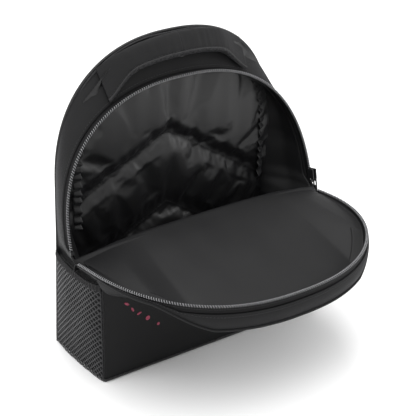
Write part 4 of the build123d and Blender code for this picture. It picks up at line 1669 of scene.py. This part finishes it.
        def hang(u: float, a: float, h: float) -> Vector:
            """The tail with a slight natural curl at its end."""
            curl = 3.0 * MM * u ** 3
            return Vector((middle.x + a * half, middle.y + h + curl, high.z - long * u))

        self._ribbon(f"strap_tail_web_{self.side}", hang, long, f"tail_{self.side}",
                     f"strap_tail_{self.side}")

        def fold(u: float, a: float, h: float) -> Vector:
            """The tail's sewn end."""
            p = hang(0.9 + 0.09 * u, a, 0)
            return p + Vector((0, 1.4 * MM + h, 0))

        def ring(u: float, v: float) -> Vector:
            """Round the folded end's section."""
            turn = 2 * math.pi * v
            return fold(u, squared(math.cos(turn), 0.35), 0.8 * MM * math.sin(turn))

        bm = laid_grid(ring, 6, 16, (0.01, 2 * self.web), close=True)
        bmesh.ops.holes_fill(bm, edges=[e for e in bm.edges if e.is_boundary], sides=0)
        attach(link(f"tail_fold_{self.side}", outward(bm), WEBBING), f"tail_{self.side}")

    def _span(self, node: str) -> tuple[float, float]:
        """Where a run of webbing starts and ends along the strap, from its CAD node."""
        obj = bpy.data.objects[node]
        along = []
        for vert in obj.data.vertices:
            rel = vert.co - self.top
            turn = math.atan2(rel.dot(self.line) - self.chord / 2, rel.y - (self.bow - self.radius))
            along.append((turn + self.half_turn) * self.radius)
        return min(along), max(along)


@dataclass
class StrapMounts:
    """Yoke and lower anchor tabs, sewn to the back."""

    shape: BagShape

    def build(self) -> None:
        """Makes the sewn patches."""
        low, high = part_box("strap_yoke")
        self._patch("yoke_patch", "strap_yoke", low, high, OXFORD)
        for side in ("left", "right"):
            low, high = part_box(f"strap_anchor_{side}")
            self._patch(f"anchor_patch_{side}", f"strap_anchor_{side}", low, high, OXFORD)

    def _patch(self, name: str, node: str, low: Vector, high: Vector, finish: Finish) -> None:
        """A sewn patch with a box of stitches.

        Args:
            name: the piece's name.
            node: the CAD node that it stands for.
            low: lowest corner.
            high: highest corner.
            finish: its cloth.
        """
        edge = 3 * MM

        def place(u: float, v: float) -> Vector:
            """A point of the patch, with rounded corners and turned-under edges."""
            x, z = 2 * u - 1, 2 * v - 1
            r = max(abs(x), abs(z))
            corner = (abs(x) ** 8 + abs(z) ** 8) ** (1 / 8)
            scale = r / corner if corner > 0 else 1
            px = (low.x + high.x) / 2 + x * scale * (high.x - low.x) / 2
            pz = (low.z + high.z) / 2 + z * scale * (high.z - low.z) / 2
            border = min(high.x - low.x, high.z - low.z) / 2 * (1 - r)
            stand = high.y - low.y + 3.2 * MM
            return Vector((px, low.y + stand * ease(-0.5 * edge, edge, border), pz))

        bm = face_away(laid_grid(place, 60, 30, (high.x - low.x, high.z - low.z)),
                       Vector(((low.x + high.x) / 2, 0, (low.z + high.z) / 2)))
        patch = thick(link(name, bm, finish), 1.2 * MM)
        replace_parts(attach(patch, "body"), node)
        inner = 0.84
        box = [(-inner, -inner), (inner, -inner), (inner, inner), (-inner, inner), (-inner, -inner)]
        if node == "strap_yoke":
            box += [(-inner, 0.15), (inner, 0.15)]
        line = []
        for (x0, z0), (x1, z1) in zip(box, box[1:]):
            for k in range(24):
                x, z = x0 + (x1 - x0) * k / 24, z0 + (z1 - z0) * k / 24
                line.append(place((x + 1) / 2, (z + 1) / 2) + Vector((0, 0.3 * MM, 0)))
        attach(stitches(f"{name}_stitches", line), "body")


# ---------------------------------------------------------------- studio
@dataclass
class Studio:
    """Floor, lights and camera."""

    eye: Vector = field(default_factory=lambda: Vector((-0.866, -1.190, 0.912)))
    turn: float = 0.643
    tip: float = 0.470
    roll: float = 0.033
    lens: float = 117.2

    def build(self) -> None:
        """Sets the whole studio."""
        self.floor()
        self.lights()
        self.camera()

    def floor(self) -> None:
        """A pale floor under the bag."""
        bm = bmesh.new()
        bmesh.ops.create_grid(bm, x_segments=1, y_segments=1, size=9.0)
        mesh = bpy.data.meshes.new("floor")
        bm.to_mesh(mesh)
        bm.free()
        floor = bpy.data.objects.new("floor", mesh)
        bpy.context.scene.collection.objects.link(floor)
        mat = bpy.data.materials.new("pale_floor")
        mat.use_nodes = True
        shader = mat.node_tree.nodes["Principled BSDF"]
        shader.inputs["Base Color"].default_value = (0.97, 0.97, 0.97, 1)
        shader.inputs["Roughness"].default_value = 0.9
        shader.inputs["Specular IOR Level"].default_value = 0.1
        mesh.materials.append(mat)

    def lights(self) -> None:
        """Soft boxes: overhead, front left, right and a rim from behind."""
        world = bpy.data.worlds.new("studio")
        world.use_nodes = True
        background = world.node_tree.nodes["Background"]
        background.inputs["Color"].default_value = (1, 1, 1, 1)
        background.inputs["Strength"].default_value = 0.9
        bpy.context.scene.world = world
        bpy.context.scene.view_settings.view_transform = "Standard"
        target = Vector((0, -0.02, 0.18))
        boxes = (("key_light", (-0.5, -0.7, 1.9), 16, 1.2), ("top_light", (0.15, 0.35, 1.9), 20, 1.1),
                 ("right_light", (1.7, -0.7, 0.9), 9, 0.9), ("left_light", (-1.8, 0.3, 0.8), 8, 0.9))
        for name, place, power, size in boxes:
            data = bpy.data.lights.new(name, "AREA")
            data.energy = power
            data.size = size
            light = bpy.data.objects.new(name, data)
            light.location = place
            light.rotation_euler = (target - Vector(place)).to_track_quat("-Z", "Y").to_euler()
            bpy.context.scene.collection.objects.link(light)

    def camera(self) -> None:
        """The three-quarter view from the front left, looking down into the mouth."""
        look = Vector((math.sin(self.turn) * math.cos(self.tip), math.cos(self.turn) * math.cos(self.tip),
                       -math.sin(self.tip)))
        flat = look.cross(Vector((0, 0, 1))).normalized()
        lift = flat.cross(look)
        right = flat * math.cos(self.roll) + lift * math.sin(self.roll)
        up = lift * math.cos(self.roll) - flat * math.sin(self.roll)
        data = bpy.data.cameras.new("camera")
        data.lens = self.lens
        data.sensor_width = 36.0
        camera = bpy.data.objects.new("camera", data)
        camera.matrix_world = Matrix.Translation(self.eye) @ Matrix((right, up, -look)).transposed().to_4x4()
        bpy.context.scene.collection.objects.link(camera)
        bpy.context.scene.camera = camera


def main(frame: dict) -> None:
    """Builds the backpack's looks, sub-assembly by sub-assembly.
    """
    shape = BagShape(frame)
    parts = [Shell(shape), QuiltedBack(shape), Zip(shape), Flap(shape), FoldGores(shape), HaulHandle(shape),
             StrapMounts(shape)]
    for side in ("left", "right"):
        parts += [SidePocket(shape, side), ShoulderStrap(shape, side)]
    for part in parts:
        before = len(bpy.data.objects)
        part.build()
        LOG.info("%s: %d pieces", type(part).__name__, len(bpy.data.objects) - before)
    Studio().build()


logging.basicConfig(level=logging.INFO, format="%(name)s %(message)s")
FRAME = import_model()

if __name__ == "__main__":
    main(FRAME)
